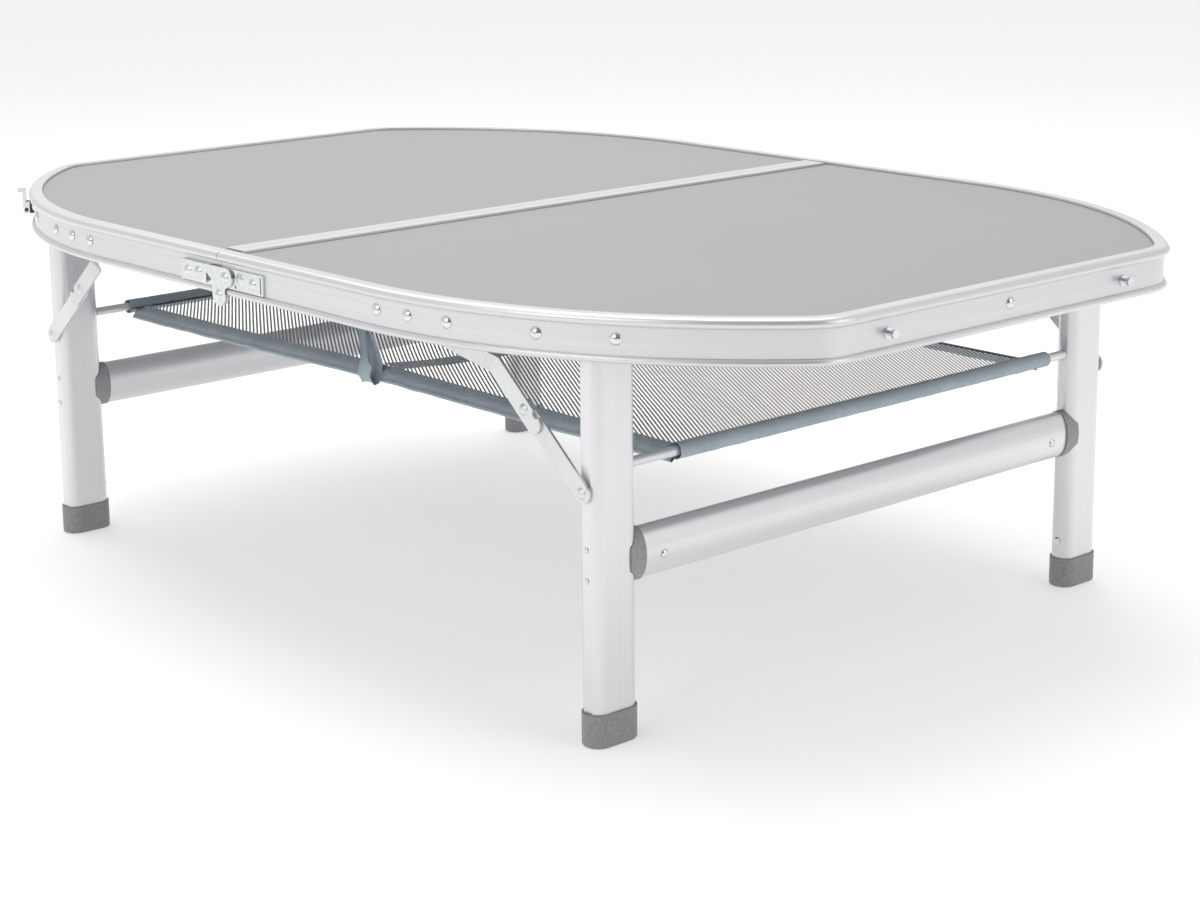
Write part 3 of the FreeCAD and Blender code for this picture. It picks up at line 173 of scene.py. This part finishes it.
def buildNetThreads():
    inputs = [("Vector", "Vector", None), ("Pitch", "Float", 0.0067), ("Slant", "Float", 1.5),
              ("Rib", "Float", 0.45), ("Cross", "Float", 0.10)]
    group, given, out = newGroup("netThreads", inputs, [("Mask", "Float"), ("Height", "Float")])
    parts = addNode(group, "SeparateXYZ", {0: given["Vector"]}).outputs
    masks, rises = [], []
    for operation, share, width in (("ADD", 1.0, given["Rib"]), ("SUBTRACT", 0.5, given["Cross"])):
        along = mathNode(group, operation, parts[0], mathNode(group, "MULTIPLY", parts[1], given["Slant"]))
        pitch = mathNode(group, "MULTIPLY", given["Pitch"], share)
        step = mathNode(group, "FRACT", mathNode(group, "DIVIDE", along, pitch))
        off = mathNode(group, "ABSOLUTE", mathNode(group, "SUBTRACT", step, 0.5))
        rise = mathNode(group, "SUBTRACT", 1.0, mathNode(group, "MULTIPLY", off, 2.0))
        masks.append(mathNode(group, "GREATER_THAN", rise, mathNode(group, "SUBTRACT", 1.0, width)))
        rises.append(mathNode(group, "MULTIPLY", rise, share))
    group.links.new(mathNode(group, "MAXIMUM", masks[0], masks[1]), out["Mask"])
    group.links.new(mathNode(group, "MAXIMUM", rises[0], rises[1]), out["Height"])
    return group


edgeWear = buildEdgeWear()
drawnGrain = buildDrawnGrain()
mouldGrain = buildMouldGrain()
plainWeave = buildWeave()
netThreads = buildNetThreads()
print("shared effects built")


# finishes

def newMaterial(name, **plain):
    material = bpy.data.materials.new(name)
    material.use_nodes = True
    tree = material.node_tree
    surface = tree.nodes["Principled BSDF"]
    for label, value in plain.items():
        surface.inputs[label.replace("_", " ")].default_value = value
    return material, tree, surface


def bumped(tree, surface, height, strength, distance, normal=None):
    bump = addNode(tree, "Bump", {"Height": height, "Strength": strength, "Distance": distance})
    if normal is not None:
        tree.links.new(normal, bump.inputs["Normal"])
    tree.links.new(bump.outputs[0], surface.inputs["Normal"])


def drawnMetal(name, look):
    material, tree, surface = newMaterial(name, Metallic=look["metal"])
    grain = putGroup(tree, drawnGrain, {"Stretch": look["stretch"], "Scale": look["grain"]})
    wear = putGroup(tree, edgeWear, {"Radius": look["edge"]})
    body = mixColour(tree, spread(tree, grain["Lines"], 0.35, 0.65, 0.0, 1.0), look["dark"], look["light"])
    clouded = mixColour(tree, spread(tree, grain["Clouds"], 0.35, 0.7, 0.0, 0.35), body, look["cloud"])
    worn = mixColour(tree, mathNode(tree, "MULTIPLY", wear["Mask"], 0.6), clouded, look["worn"])
    tree.links.new(worn, surface.inputs["Base Color"])
    rough = spread(tree, grain["Lines"], 0.3, 0.7, look["rough"][0], look["rough"][1])
    tree.links.new(mathNode(tree, "SUBTRACT", rough, mathNode(tree, "MULTIPLY", wear["Mask"], 0.1)),
                   surface.inputs["Roughness"])
    bumped(tree, surface, grain["Lines"], look["bump"], 0.0002, wear["Normal"])
    return material


def mouldedPlastic(name, look):
    material, tree, surface = newMaterial(name)
    grain = putGroup(tree, mouldGrain, {"Scale": look["grain"]})
    wear = putGroup(tree, edgeWear, {"Radius": look["edge"]})
    body = mixColour(tree, spread(tree, grain["Tone"], 0.35, 0.65, 0.0, 1.0), look["dark"], look["light"])
    scuffed = mixColour(tree, mathNode(tree, "MULTIPLY", grain["Scuff"], 0.35), body, look["worn"])
    worn = mixColour(tree, mathNode(tree, "MULTIPLY", wear["Mask"], 0.45), scuffed, look["worn"])
    tree.links.new(worn, surface.inputs["Base Color"])
    tree.links.new(spread(tree, grain["Tone"], 0.3, 0.7, look["rough"][0], look["rough"][1]),
                   surface.inputs["Roughness"])
    bumped(tree, surface, grain["Height"], look["bump"], 0.0002, wear["Normal"])
    return material


def laminate(name, look):
    material, tree, surface = newMaterial(name)
    place = addNode(tree, "TexCoord").outputs["Object"]
    grain = putGroup(tree, mouldGrain, {"Scale": look["grain"]})
    speck = addNode(tree, "TexNoise", {"Vector": place, "Scale": 1700.0, "Detail": 2.0}).outputs["Fac"]
    broad = addNode(tree, "TexNoise", {"Vector": place, "Scale": 3.2, "Detail": 5.0}).outputs["Fac"]
    body = mixColour(tree, spread(tree, speck, 0.38, 0.62, 0.0, 1.0), look["dark"], look["light"])
    clouded = mixColour(tree, spread(tree, broad, 0.35, 0.7, 0.0, 0.3), body, look["cloud"])
    tree.links.new(clouded, surface.inputs["Base Color"])
    tree.links.new(spread(tree, broad, 0.3, 0.7, look["rough"][0], look["rough"][1]),
                   surface.inputs["Roughness"])
    bumped(tree, surface, grain["Height"], look["bump"], 0.00012)
    return material


rimLook = {
    "stretch": (0.004, 0.004, 1.0), "grain": 950.0, "edge": 0.0006, "metal": 0.72,
    "dark": (0.66, 0.66, 0.675, 1), "light": (0.73, 0.73, 0.745, 1), "cloud": (0.68, 0.68, 0.695, 1),
    "worn": (0.90, 0.90, 0.915, 1), "rough": (0.30, 0.38), "bump": 0.04,
}
legLook = dict(rimLook, stretch=(1.0, 1.0, 0.004), grain=1100.0, dark=(0.735, 0.735, 0.752, 1),
               light=(0.775, 0.775, 0.792, 1), cloud=(0.75, 0.75, 0.767, 1), rough=(0.32, 0.36), bump=0.008)
barLook = dict(legLook, stretch=(1.0, 0.004, 1.0))
stayLook = dict(rimLook, stretch=(0.02, 1.0, 0.02), grain=700.0, dark=(0.64, 0.645, 0.65, 1),
                light=(0.78, 0.783, 0.785, 1), worn=(0.95, 0.95, 0.95, 1), rough=(0.3, 0.42), bump=0.1)
rodLook = dict(rimLook, stretch=(1.0, 0.004, 1.0), metal=0.5, dark=(0.72, 0.73, 0.74, 1),
               light=(0.86, 0.865, 0.87, 1), cloud=(0.80, 0.81, 0.82, 1), rough=(0.25, 0.34), bump=0.04)
rivetLook = dict(rimLook, stretch=(1.0, 1.0, 1.0), grain=500.0, metal=1.0, dark=(0.66, 0.675, 0.69, 1),
                 light=(0.80, 0.81, 0.82, 1), rough=(0.06, 0.13), bump=0.02, edge=0.0003)
zincLook = dict(rimLook, stretch=(1.0, 1.0, 1.0), grain=240.0, metal=1.0, dark=(0.60, 0.625, 0.625, 1),
                light=(0.77, 0.79, 0.785, 1), cloud=(0.66, 0.69, 0.675, 1), worn=(0.92, 0.93, 0.92, 1),
                rough=(0.14, 0.26), bump=0.04, edge=0.0004)
footLook = {
    "grain": 900.0, "edge": 0.0012, "dark": (0.230, 0.229, 0.240, 1), "light": (0.290, 0.289, 0.302, 1),
    "worn": (0.30, 0.30, 0.31, 1), "rough": (0.45, 0.58), "bump": 0.16,
}
capLook = dict(footLook, dark=(0.270, 0.270, 0.277, 1), light=(0.330, 0.330, 0.339, 1), bump=0.1)
innerLook = dict(footLook, dark=(0.20, 0.20, 0.205, 1), light=(0.25, 0.25, 0.255, 1))
clipLook = dict(footLook, dark=(0.03, 0.03, 0.032, 1), light=(0.05, 0.05, 0.053, 1),
                worn=(0.12, 0.12, 0.125, 1), rough=(0.38, 0.5))
panelLook = {
    "grain": 1500.0, "dark": (0.283, 0.283, 0.284, 1), "light": (0.330, 0.330, 0.331, 1),
    "cloud": (0.298, 0.299, 0.300, 1), "rough": (0.42, 0.5), "bump": 0.10,
}

finishes = [
    ("rim_rivets_", drawnMetal("rivetSteel", rivetLook)),
    ("rim_", drawnMetal("rimAluminium", rimLook)),
    ("seam_rail_", drawnMetal("railAluminium", dict(rimLook, stretch=(1.0, 0.004, 1.0)))),
    ("panel_", laminate("topLaminate", panelLook)),
    ("end_pegs_", drawnMetal("pegSteel", rivetLook)),
    ("frame_fasteners_", drawnMetal("fastenerSteel", rivetLook)),
    ("leg_hanger_", mouldedPlastic("hangerPlastic", innerLook)),
    ("stay_block_", mouldedPlastic("blockPlastic", innerLook)),
    ("leg_", drawnMetal("legAluminium", legLook)),
    ("foot_", mouldedPlastic("footPlastic", footLook)),
    ("crossbar_", drawnMetal("barAluminium", barLook)),
    ("saddle_cap_", mouldedPlastic("capPlastic", capLook)),
    ("lower_link_", drawnMetal("stayAlloy", stayLook)),
    ("upper_link_", drawnMetal("stayAlloyUpper", stayLook)),
    ("net_rod_", drawnMetal("rodSteel", rodLook)),
    ("hinge_", drawnMetal("zincSteel", zincLook)),
    ("clip_base_", mouldedPlastic("clipPlastic", clipLook)),
    ("clip_lever_", drawnMetal("clipZinc", zincLook)),
]
for nodeName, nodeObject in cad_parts.items():
    for start, material in finishes:
        if nodeName.startswith(start):
            nodeObject.data.materials.clear()
            nodeObject.data.materials.append(material)
            break
print("finishes on the solids:", len(finishes))


# net fabrics

def fabricMaterial(name, look):
    material, tree, surface = newMaterial(name, Sheen_Weight=0.25, Sheen_Roughness=0.45)
    uv = addNode(tree, "UVMap", uv_map="flat").outputs[0]
    weave = putGroup(tree, plainWeave, {"Vector": uv, "Pitch": look["pitch"]})
    body = mixColour(tree, spread(tree, weave["Tone"], 0.1, 0.9, 0.0, 1.0), look["dark"], look["light"])
    place = addNode(tree, "TexCoord").outputs["Object"]
    fade = addNode(tree, "TexNoise", {"Vector": place, "Scale": 24.0, "Detail": 4.0}).outputs["Fac"]
    faded = mixColour(tree, spread(tree, fade, 0.4, 0.7, 0.0, 0.4), body, look["faded"])
    if "ribPitch" in look:
        ribs = putGroup(tree, netThreads, {"Vector": uv, "Pitch": look["ribPitch"]})
        faded = mixColour(tree, mathNode(tree, "MULTIPLY", ribs["Mask"], 0.55), faded, look["dark"])
    tree.links.new(faded, surface.inputs["Base Color"])
    tree.links.new(spread(tree, weave["Height"], 0.0, 1.0, 0.86, 0.7), surface.inputs["Roughness"])
    bumped(tree, surface, weave["Height"], look["bump"], 0.00035)
    return material


def netMaterial(name, look):
    material, tree, surface = newMaterial(name, Roughness=0.62)
    uv = addNode(tree, "UVMap", uv_map="flat").outputs[0]
    threads = putGroup(tree, netThreads, {"Vector": uv, "Pitch": look["pitch"], "Rib": look["rib"],
                                          "Cross": look["cross"]})
    fine = addNode(tree, "TexNoise", {"Vector": uv, "Scale": 420.0, "Detail": 3.0}).outputs["Fac"]
    body = mixColour(tree, spread(tree, fine, 0.35, 0.65, 0.0, 1.0), look["dark"], look["light"])
    tree.links.new(body, surface.inputs["Base Color"])
    tree.links.new(threads["Mask"], surface.inputs["Alpha"])
    bumped(tree, surface, threads["Height"], 0.4, 0.0006)
    return material


def threadMaterial(name, look):
    material, tree, surface = newMaterial(name)
    place = addNode(tree, "TexCoord").outputs["Object"]
    twist = addNode(tree, "TexWave", {"Vector": place, "Scale": 900.0, "Distortion": 1.5}).outputs["Fac"]
    tree.links.new(mixColour(tree, twist, look["dark"], look["light"]), surface.inputs["Base Color"])
    tree.links.new(spread(tree, twist, 0.0, 1.0, 0.6, 0.45), surface.inputs["Roughness"])
    return material


bindingLook = {"pitch": 0.0012, "bump": 0.5, "dark": (0.250, 0.310, 0.350, 1),
               "light": (0.450, 0.530, 0.580, 1), "faded": (0.500, 0.565, 0.610, 1)}
bandLook = dict(bindingLook, ribPitch=0.0067, dark=(0.38, 0.45, 0.50, 1), light=(0.70, 0.76, 0.80, 1),
                faded=(0.72, 0.77, 0.81, 1))
meshLook = {"pitch": 0.0067, "rib": 0.50, "cross": 0.10, "dark": (0.30, 0.305, 0.315, 1),
            "light": (0.42, 0.425, 0.44, 1)}
threadLook = {"dark": (0.20, 0.24, 0.27, 1), "light": (0.36, 0.41, 0.45, 1)}
bindingCloth = fabricMaterial("bindingCloth", bindingLook)
bandCloth = fabricMaterial("bandCloth", bandLook)
netCloth = netMaterial("netCloth", meshLook)
stitchThread = threadMaterial("stitchThread", threadLook)
print("net fabrics ready")


# net shape

net = {
    "rodX": 0.430, "rodZ": 0.240, "endX": 0.4226, "meshY": 0.236, "edgeY": 0.250, "middle": 0.14,
    "lift": 0.008, "sag": 0.004, "crumple": 0.0008, "slide": 0.012, "step": 0.010, "turning": 0.110,
    "stitchLong": 0.0030, "stitchGap": 0.0018, "stitchWide": 0.0004,
}


def netPoint(x, y):
    share = min(abs(x) / net["rodX"], 1.0)
    cross = min(abs(y) / net["edgeY"], 1.0)
    lift = net["lift"] * (1 - share) ** 1.4 * cross ** 3
    sag = net["sag"] * (1 - share ** 2) * (1 - cross ** 2)
    crumple = noise.noise(Vector((x * 7.0, y * 14.0, 3.1))) * net["crumple"] * (1 - share ** 4)
    slide = net["slide"] * max(x / net["rodX"], 0.0)  # the right end has slid along its rod
    return Vector((x, y + slide, net["rodZ"] + lift - sag + crumple * (1 - cross ** 6)))


def steps(low, high, pace):
    count = max(2, round((high - low) / pace))
    return [low + (high - low) * i / count for i in range(count + 1)]


def meshPiece(name, points, faces, flat, material):
    mesh = bpy.data.meshes.new(name)
    mesh.from_pydata([tuple(p) for p in points], [], faces)
    layer = mesh.uv_layers.new(name="flat")
    for loop in mesh.loops:
        layer.data[loop.index].uv = flat[loop.vertex_index]
    mesh.materials.append(material)
    for face in mesh.polygons:
        face.use_smooth = True
    piece = bpy.data.objects.new(name, mesh)
    scene.collection.objects.link(piece)
    return piece


def gridFaces(rows, columns, offset=0):
    faces = []
    for i in range(rows - 1):
        for j in range(columns - 1):
            a = offset + i * columns + j
            faces.append((a, a + 1, a + columns + 1, a + columns))
    return faces


def netSheet(name, low, high):
    xs = steps(low, high, net["step"])
    ys = steps(-net["meshY"], net["meshY"], net["step"])
    points = [netPoint(x, y) for x in xs for y in ys]
    flat = [(x, y) for x in xs for y in ys]
    piece = meshPiece(name, points, gridFaces(len(xs), len(ys)), flat, netCloth)
    return piece, (high - low, 2 * net["meshY"])


def stitchRow(points, flat, faces, track, normal):
    for start, finish in track:
        along = (finish - start).normalized()
        side = along.cross(normal).normalized() * net["stitchWide"]
        rise = normal * net["stitchWide"]
        base = len(points)
        for t, swell in ((0.0, 0.35), (0.2, 1.0), (0.8, 1.0), (1.0, 0.35)):
            spot = start.lerp(finish, t)
            points += [spot - side * swell, spot + rise * swell * 1.3, spot + side * swell]
            flat += [(0, 0), (0, 0), (0, 0)]
        faces += gridFaces(4, 3, base)


tape = {
    "inner": 0.2335, "wide": 0.019, "thick": 0.0012, "cut": 2.1, "step": 0.004, "tilt": 38.0,
    "pinchX": 0.012, "pinchLong": 0.016, "pinchTilt": 26.0, "pinchNarrow": 0.10, "gather": 0.0011,
    "rippleTilt": 7.0, "ripple": 0.0006, "stitchRows": (0.14, 0.85), "stitchStart": 0.002, "stitchRise": 1.3,
    # share of the width and rise in thicknesses, round the folded tape
    "section": ((0.0, 0.2), (0.02, 1.3), (0.09, 1.5), (0.14, 1.2), (0.30, 2.2), (0.50, 2.6), (0.70, 2.2),
                (0.84, 1.3), (0.90, 1.5), (0.98, 1.0), (1.0, 0.0), (0.97, -1.0), (0.6, -1.0), (0.0, -1.0)),
}


def bindingPoint(x, sign, share, rise):
    # share runs from the inner to the outer edge, rise stands off the tape
    pinch = math.exp(-((x - tape["pinchX"]) / tape["pinchLong"]) ** 2)
    ripple = noise.noise(Vector((x * 34.0, sign * 4.0, 0.0)))
    tilt = math.radians(tape["tilt"] + tape["pinchTilt"] * pinch + tape["rippleTilt"] * ripple)
    gathers = tape["gather"] * pinch * math.sin(share * 9.0 + x * 420.0) + tape["ripple"] * ripple * share
    run = tape["wide"] * (share - tape["pinchNarrow"] * pinch * share)
    out = Vector((0, sign * math.cos(tilt), -math.sin(tilt)))
    off = Vector((0, sign * math.sin(tilt), math.cos(tilt)))
    return netPoint(x, sign * tape["inner"]) + out * run + off * (rise + gathers)


def edgeBinding(name, low, high, sign):
    wide, thick = tape["wide"], tape["thick"]
    xs = steps(low, high, tape["step"])
    section = [(share, thick * rise) for share, rise in tape["section"]]
    points, flat = [], []
    for x in xs:
        run = 0.0
        for k, (share, rise) in enumerate(section):
            points.append(bindingPoint(x, sign, share, rise))
            run += 0.0 if k == 0 else wide * abs(share - section[k - 1][0]) + abs(rise - section[k - 1][1])
            flat.append((x, run))
    faces = gridFaces(len(xs), len(section))
    tapeFaces = len(faces)
    for share in tape["stitchRows"]:
        track = []
        x = low + tape["stitchStart"]
        while x + net["stitchLong"] < high:
            track.append([bindingPoint(spot, sign, share, thick * tape["stitchRise"])
                          for spot in (x, x + net["stitchLong"])])
            x += net["stitchLong"] + net["stitchGap"]
        tilt = math.radians(tape["tilt"])
        stitchRow(points, flat, faces, track, Vector((0, sign * math.sin(tilt), math.cos(tilt))))
    piece = meshPiece(name, points, faces, flat, bindingCloth)
    piece.data.materials.append(stitchThread)
    for face in piece.data.polygons[tapeFaces:]:
        face.material_index = 1
    return piece, (high - low, tape["cut"] * wide)


left, middle, right = "left", "middle", "right"
zones = {
    left: (-net["endX"], -net["middle"], "left_legs", "left_half"),
    middle: (-net["middle"], net["middle"], "left_half", "right_half"),
    right: (net["middle"], net["endX"], "right_half", "right_legs"),
}


def follow(piece):
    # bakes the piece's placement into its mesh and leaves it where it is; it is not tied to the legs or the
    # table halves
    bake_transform(piece)


for zone, (low, high, *_) in zones.items():
    piece, flatSize = netSheet("net_" + zone, low, high)
    follow(piece)
    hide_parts("net_mesh")
    for edge, sign in (("near", -1), ("far", 1)):
        binding, flatSize = edgeBinding("net_binding_" + edge + "_" + zone, low, high, sign)
        follow(binding)
        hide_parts("net_binding_" + edge)
print("net and bindings made")


sleeve = {
    "clothR": 0.0074, "tail": 0.014, "halfLong": 0.250, "turns": 20, "gapAngle": 155.0, "step": 0.006,
    "tailBend": 0.72, "bendRise": 0.0013, "endRise": 0.0011, "pucker": 0.05,
    "stitchAt": 0.86, "stitchRise": 0.0014, "stitchStart": 0.003,
}


def rodSleeve(side, sign):
    section = []
    for i in range(sleeve["turns"] + 1):
        angle = math.radians(sleeve["gapAngle"]) * (1 - 2 * i / sleeve["turns"])
        section.append((math.cos(angle) * sleeve["clothR"], math.sin(angle) * sleeve["clothR"]))
    end, bend = -sleeve["tail"], -sleeve["tail"] * sleeve["tailBend"]
    section = [(end, sleeve["endRise"]), (bend, sleeve["bendRise"])] + section
    section += [(bend, -sleeve["bendRise"]), (end, -sleeve["endRise"])]
    ys = steps(-sleeve["halfLong"], sleeve["halfLong"], sleeve["step"])
    slide = net["slide"] if sign > 0 else 0.0
    points, flat = [], []
    for y in ys:
        run = 0.0
        for k, (out, rise) in enumerate(section):
            pucker = 1 + sleeve["pucker"] * noise.noise(Vector((y * 60.0, k * 0.25, sign * 2.0)))
            points.append(Vector((sign * (net["rodX"] + out * pucker), y + slide,
                                  net["rodZ"] + rise * pucker)))
            run += 0.0 if k == 0 else math.dist((out, rise), section[k - 1])
            flat.append((y, run))
    faces = gridFaces(len(ys), len(section))
    clothFaces = len(faces)
    stitchX = sign * (net["rodX"] - sleeve["tail"] * sleeve["stitchAt"])
    track = []
    y = ys[0] + sleeve["stitchStart"]
    while y + net["stitchLong"] < ys[-1]:
        track.append([Vector((stitchX, spot + slide, net["rodZ"] + sleeve["stitchRise"]))
                      for spot in (y, y + net["stitchLong"])])
        y += net["stitchLong"] + net["stitchGap"]
    stitchRow(points, flat, faces, track, Vector((0, 0, 1)))
    piece = meshPiece("net_sleeve_cloth_" + side, points, faces, flat, bindingCloth)
    piece.data.materials.append(stitchThread)
    for face in piece.data.polygons[clothFaces:]:
        face.material_index = 1
    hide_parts("net_sleeve_" + side)
    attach(piece, side + "_legs")


rodSleeve("left", -1)
rodSleeve("right", 1)
print("sleeves made")


band = {"middle": 0.030, "halfWide": 0.015, "above": 0.0012, "curl": 0.0009, "step": 0.003}


def middleBand():
    xs = steps(band["middle"] - band["halfWide"], band["middle"] + band["halfWide"], band["step"])
    ys = steps(-net["meshY"], net["meshY"], net["step"])
    points, flat = [], []
    for y in ys:
        for x in xs:
            curl = band["curl"] * noise.noise(Vector((x * 70.0, y * 30.0, 7.0)))
            points.append(netPoint(x, y) + Vector((0, 0, band["above"] + curl)))
            flat.append((x, y))
    piece = meshPiece("net_middle_tape", points, gridFaces(len(ys), len(xs)), flat, bandCloth)
    follow(piece)
    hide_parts("net_middle_band")


middleBand()

strap = {
    "topX": -0.0020, "topY": 0.257, "topZ": 0.3470, "wide": 0.020, "topShare": 0.45, "front": 0.62,
    "bow": 0.0008, "bowAlong": 0.4, "waist": 0.2, "waistPlace": 1.6, "curledMost": 0.38, "curledLeast": 0.97,
    "steps": 18, "across": 12,
    # across the table and above the net's edge, round the binding
    "loop": ((0.2540, 0.002), (0.2560, -0.008), (0.2510, -0.0170), (0.2450, -0.0160), (0.2410, -0.006),
             (0.2400, 0.004)),
}


def strapTrack(sign):
    # down the near side, under the binding and up again behind it
    x = tape["pinchX"]
    top = Vector((strap["topX"], sign * strap["topY"], strap["topZ"]))
    edge = netPoint(x, sign * tape["inner"])
    loop = [Vector((x, sign * y, edge.z + z)) for y, z in strap["loop"]]
    count = strap["steps"]
    track = [(top.lerp(loop[0], i / count), i / count, 1) for i in range(count)]
    track += [(spot, 1.0, 0) for spot in loop]
    track += [(loop[-1].lerp(top, i / count), 1 - i / count, -1) for i in range(1, count + 1)]
    placed = []
    for spot, share, way in track:
        swell = math.sin(math.pi * share) * strap["bow"] * way
        narrow = strap["front"] if way > 0 else 1.0
        placed.append((spot + Vector((strap["bowAlong"] * swell, sign * swell, 0)), share, narrow))
    return placed


def curlOf(share):
    # half angle of an arc whose chord is this share of its length
    low, high = 0.01, 3.0
    for _ in range(30):
        half = (low + high) / 2
        if math.sin(half) / half > share:
            low = half
        else:
            high = half
    return low


def hangingStrap(edge, sign):
    across = strap["across"]
    track = strapTrack(sign)
    count = len(track)
    points, flat = [], []
    run = 0.0
    for i, (spot, share, narrow) in enumerate(track):
        ahead = track[min(i + 1, count - 1)][0] - track[max(i - 1, 0)][0]
        ease = share * share * (3 - 2 * share)
        angle = math.radians(90 + 90 * ease)
        side = Vector((math.cos(angle), math.sin(angle) * -sign, 0))
        off = ahead.cross(side).normalized()
        seen = strap["topShare"] + (1 - strap["topShare"]) * ease
        seen *= narrow * (1 - strap["waist"] * math.sin(math.pi * min(share * strap["waistPlace"], 1.0)))
        curl = curlOf(min(max(seen, strap["curledMost"]), strap["curledLeast"]))
        radius = strap["wide"] / (2 * curl)
        run += 0.0 if i == 0 else (spot - track[i - 1][0]).length
        for j in range(across + 1):
            s = 2 * j / across - 1
            cup = radius * (math.cos(curl * s) - math.cos(curl))
            points.append(spot + side * radius * math.sin(curl * s) + off * cup)
            flat.append((s * strap["wide"] / 2, run))
    faces = gridFaces(count, across + 1)
    piece = meshPiece("net_hanger_strap_" + edge, points, faces, flat, bindingCloth)
    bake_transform(piece)
    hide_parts("net_strap_" + edge)


hangingStrap("near", -1)
hangingStrap("far", 1)
print("straps made")


# studio

studio = {
    "floor": (0.60, 0.60, 0.60, 1), "floorDrift": (0.62, 0.62, 0.62, 1), "floorGlow": 0.44, "floorHalf": 14.0,
    "world": 0.80, "shade": 0.32, "shadeWay": (0.70, -0.66, 0.27), "shadeEdge": (0.45, 0.80),
    "aim": (0, 0, 0.2),
    "topPlace": (-0.9, 0.3, 3.0), "topSize": 2.8, "topPower": 70.0,
    "keyPlace": (0.6, -3.2, 1.9), "keySize": 2.2, "keyPower": 26.0,
    "fillPlace": (3.6, 0.9, 1.6), "fillSize": 2.0, "fillPower": 16.0,
}


def studioFloor():
    half = studio["floorHalf"]
    corners = [(-half, -half, 0), (half, -half, 0), (half, half, 0), (-half, half, 0)]
    mesh = bpy.data.meshes.new("studio_floor")
    mesh.from_pydata(corners, [], [(0, 1, 2, 3)])
    floor = bpy.data.objects.new("studio_floor", mesh)
    scene.collection.objects.link(floor)
    material, tree, surface = newMaterial("paleFloor", Roughness=0.9, Emission_Strength=studio["floorGlow"])
    surface.inputs["Emission Color"].default_value = (1, 1, 1, 1)
    place = addNode(tree, "TexCoord").outputs["Object"]
    drift = addNode(tree, "TexNoise", {"Vector": place, "Scale": 2.0, "Detail": 3.0}).outputs["Fac"]
    tree.links.new(mixColour(tree, drift, studio["floor"], studio["floorDrift"]),
                   surface.inputs["Base Color"])
    mesh.materials.append(material)


def areaLight(name, place, size, power):
    lamp = bpy.data.lights.new(name, "AREA")
    lamp.size = size
    lamp.energy = power
    holder = bpy.data.objects.new(name, lamp)
    holder.location = place
    holder.rotation_mode = "QUATERNION"
    holder.rotation_quaternion = (Vector(studio["aim"]) - Vector(place)).to_track_quat("-Z", "Y")
    scene.collection.objects.link(holder)


studioFloor()
areaLight("topLight", studio["topPlace"], studio["topSize"], studio["topPower"])
areaLight("keyLight", studio["keyPlace"], studio["keySize"], studio["keyPower"])
areaLight("fillLight", studio["fillPlace"], studio["fillSize"], studio["fillPower"])
world = bpy.data.worlds.new("studioWorld")
world.use_nodes = True
sky = world.node_tree
towards = addNode(sky, "TexCoord").outputs["Generated"]
facing = addNode(sky, "VectorMath", {0: towards, 1: studio["shadeWay"]},
                 operation="DOT_PRODUCT").outputs["Value"]
shade = spread(sky, facing, *studio["shadeEdge"], 1.0, studio["shade"])
seen = addNode(sky, "LightPath").outputs["Is Camera Ray"]
sky.links.new(mixColour(sky, mathNode(sky, "MAXIMUM", shade, seen), (0, 0, 0, 1), (1, 1, 1, 1)),
              sky.nodes["Background"].inputs["Color"])
sky.nodes["Background"].inputs["Strength"].default_value = studio["world"]
scene.world = world
scene.view_settings.view_transform = "Standard"

viewpoint = {
    "place": (1.9007, -1.6382, 0.7851), "yaw": -0.8441, "down": 0.2205, "roll": -0.0103,
    "lens": 74.145, "shift": (0.0061, -0.085),
}


def photoCamera():
    camera = bpy.data.cameras.new("photoCamera")
    camera.lens = viewpoint["lens"]
    camera.sensor_width = 36.0
    camera.shift_x, camera.shift_y = viewpoint["shift"]
    camera.clip_end = 60.0
    yaw, down, roll = viewpoint["yaw"], viewpoint["down"], viewpoint["roll"]
    ahead = Vector((math.sin(yaw) * math.cos(down), math.cos(yaw) * math.cos(down), -math.sin(down)))
    levelRight = Vector((math.cos(yaw), -math.sin(yaw), 0))
    levelUp = levelRight.cross(ahead)
    tiltedRight = levelRight * math.cos(roll) + levelUp * math.sin(roll)
    tiltedUp = levelUp * math.cos(roll) - levelRight * math.sin(roll)
    holder = bpy.data.objects.new("photoCamera", camera)
    turn = Matrix((tiltedRight, tiltedUp, -ahead)).transposed().to_4x4()
    holder.matrix_world = Matrix.Translation(Vector(viewpoint["place"])) @ turn
    scene.collection.objects.link(holder)
    scene.camera = holder


photoCamera()
print("studio and camera set")

bpy.context.view_layer.update()
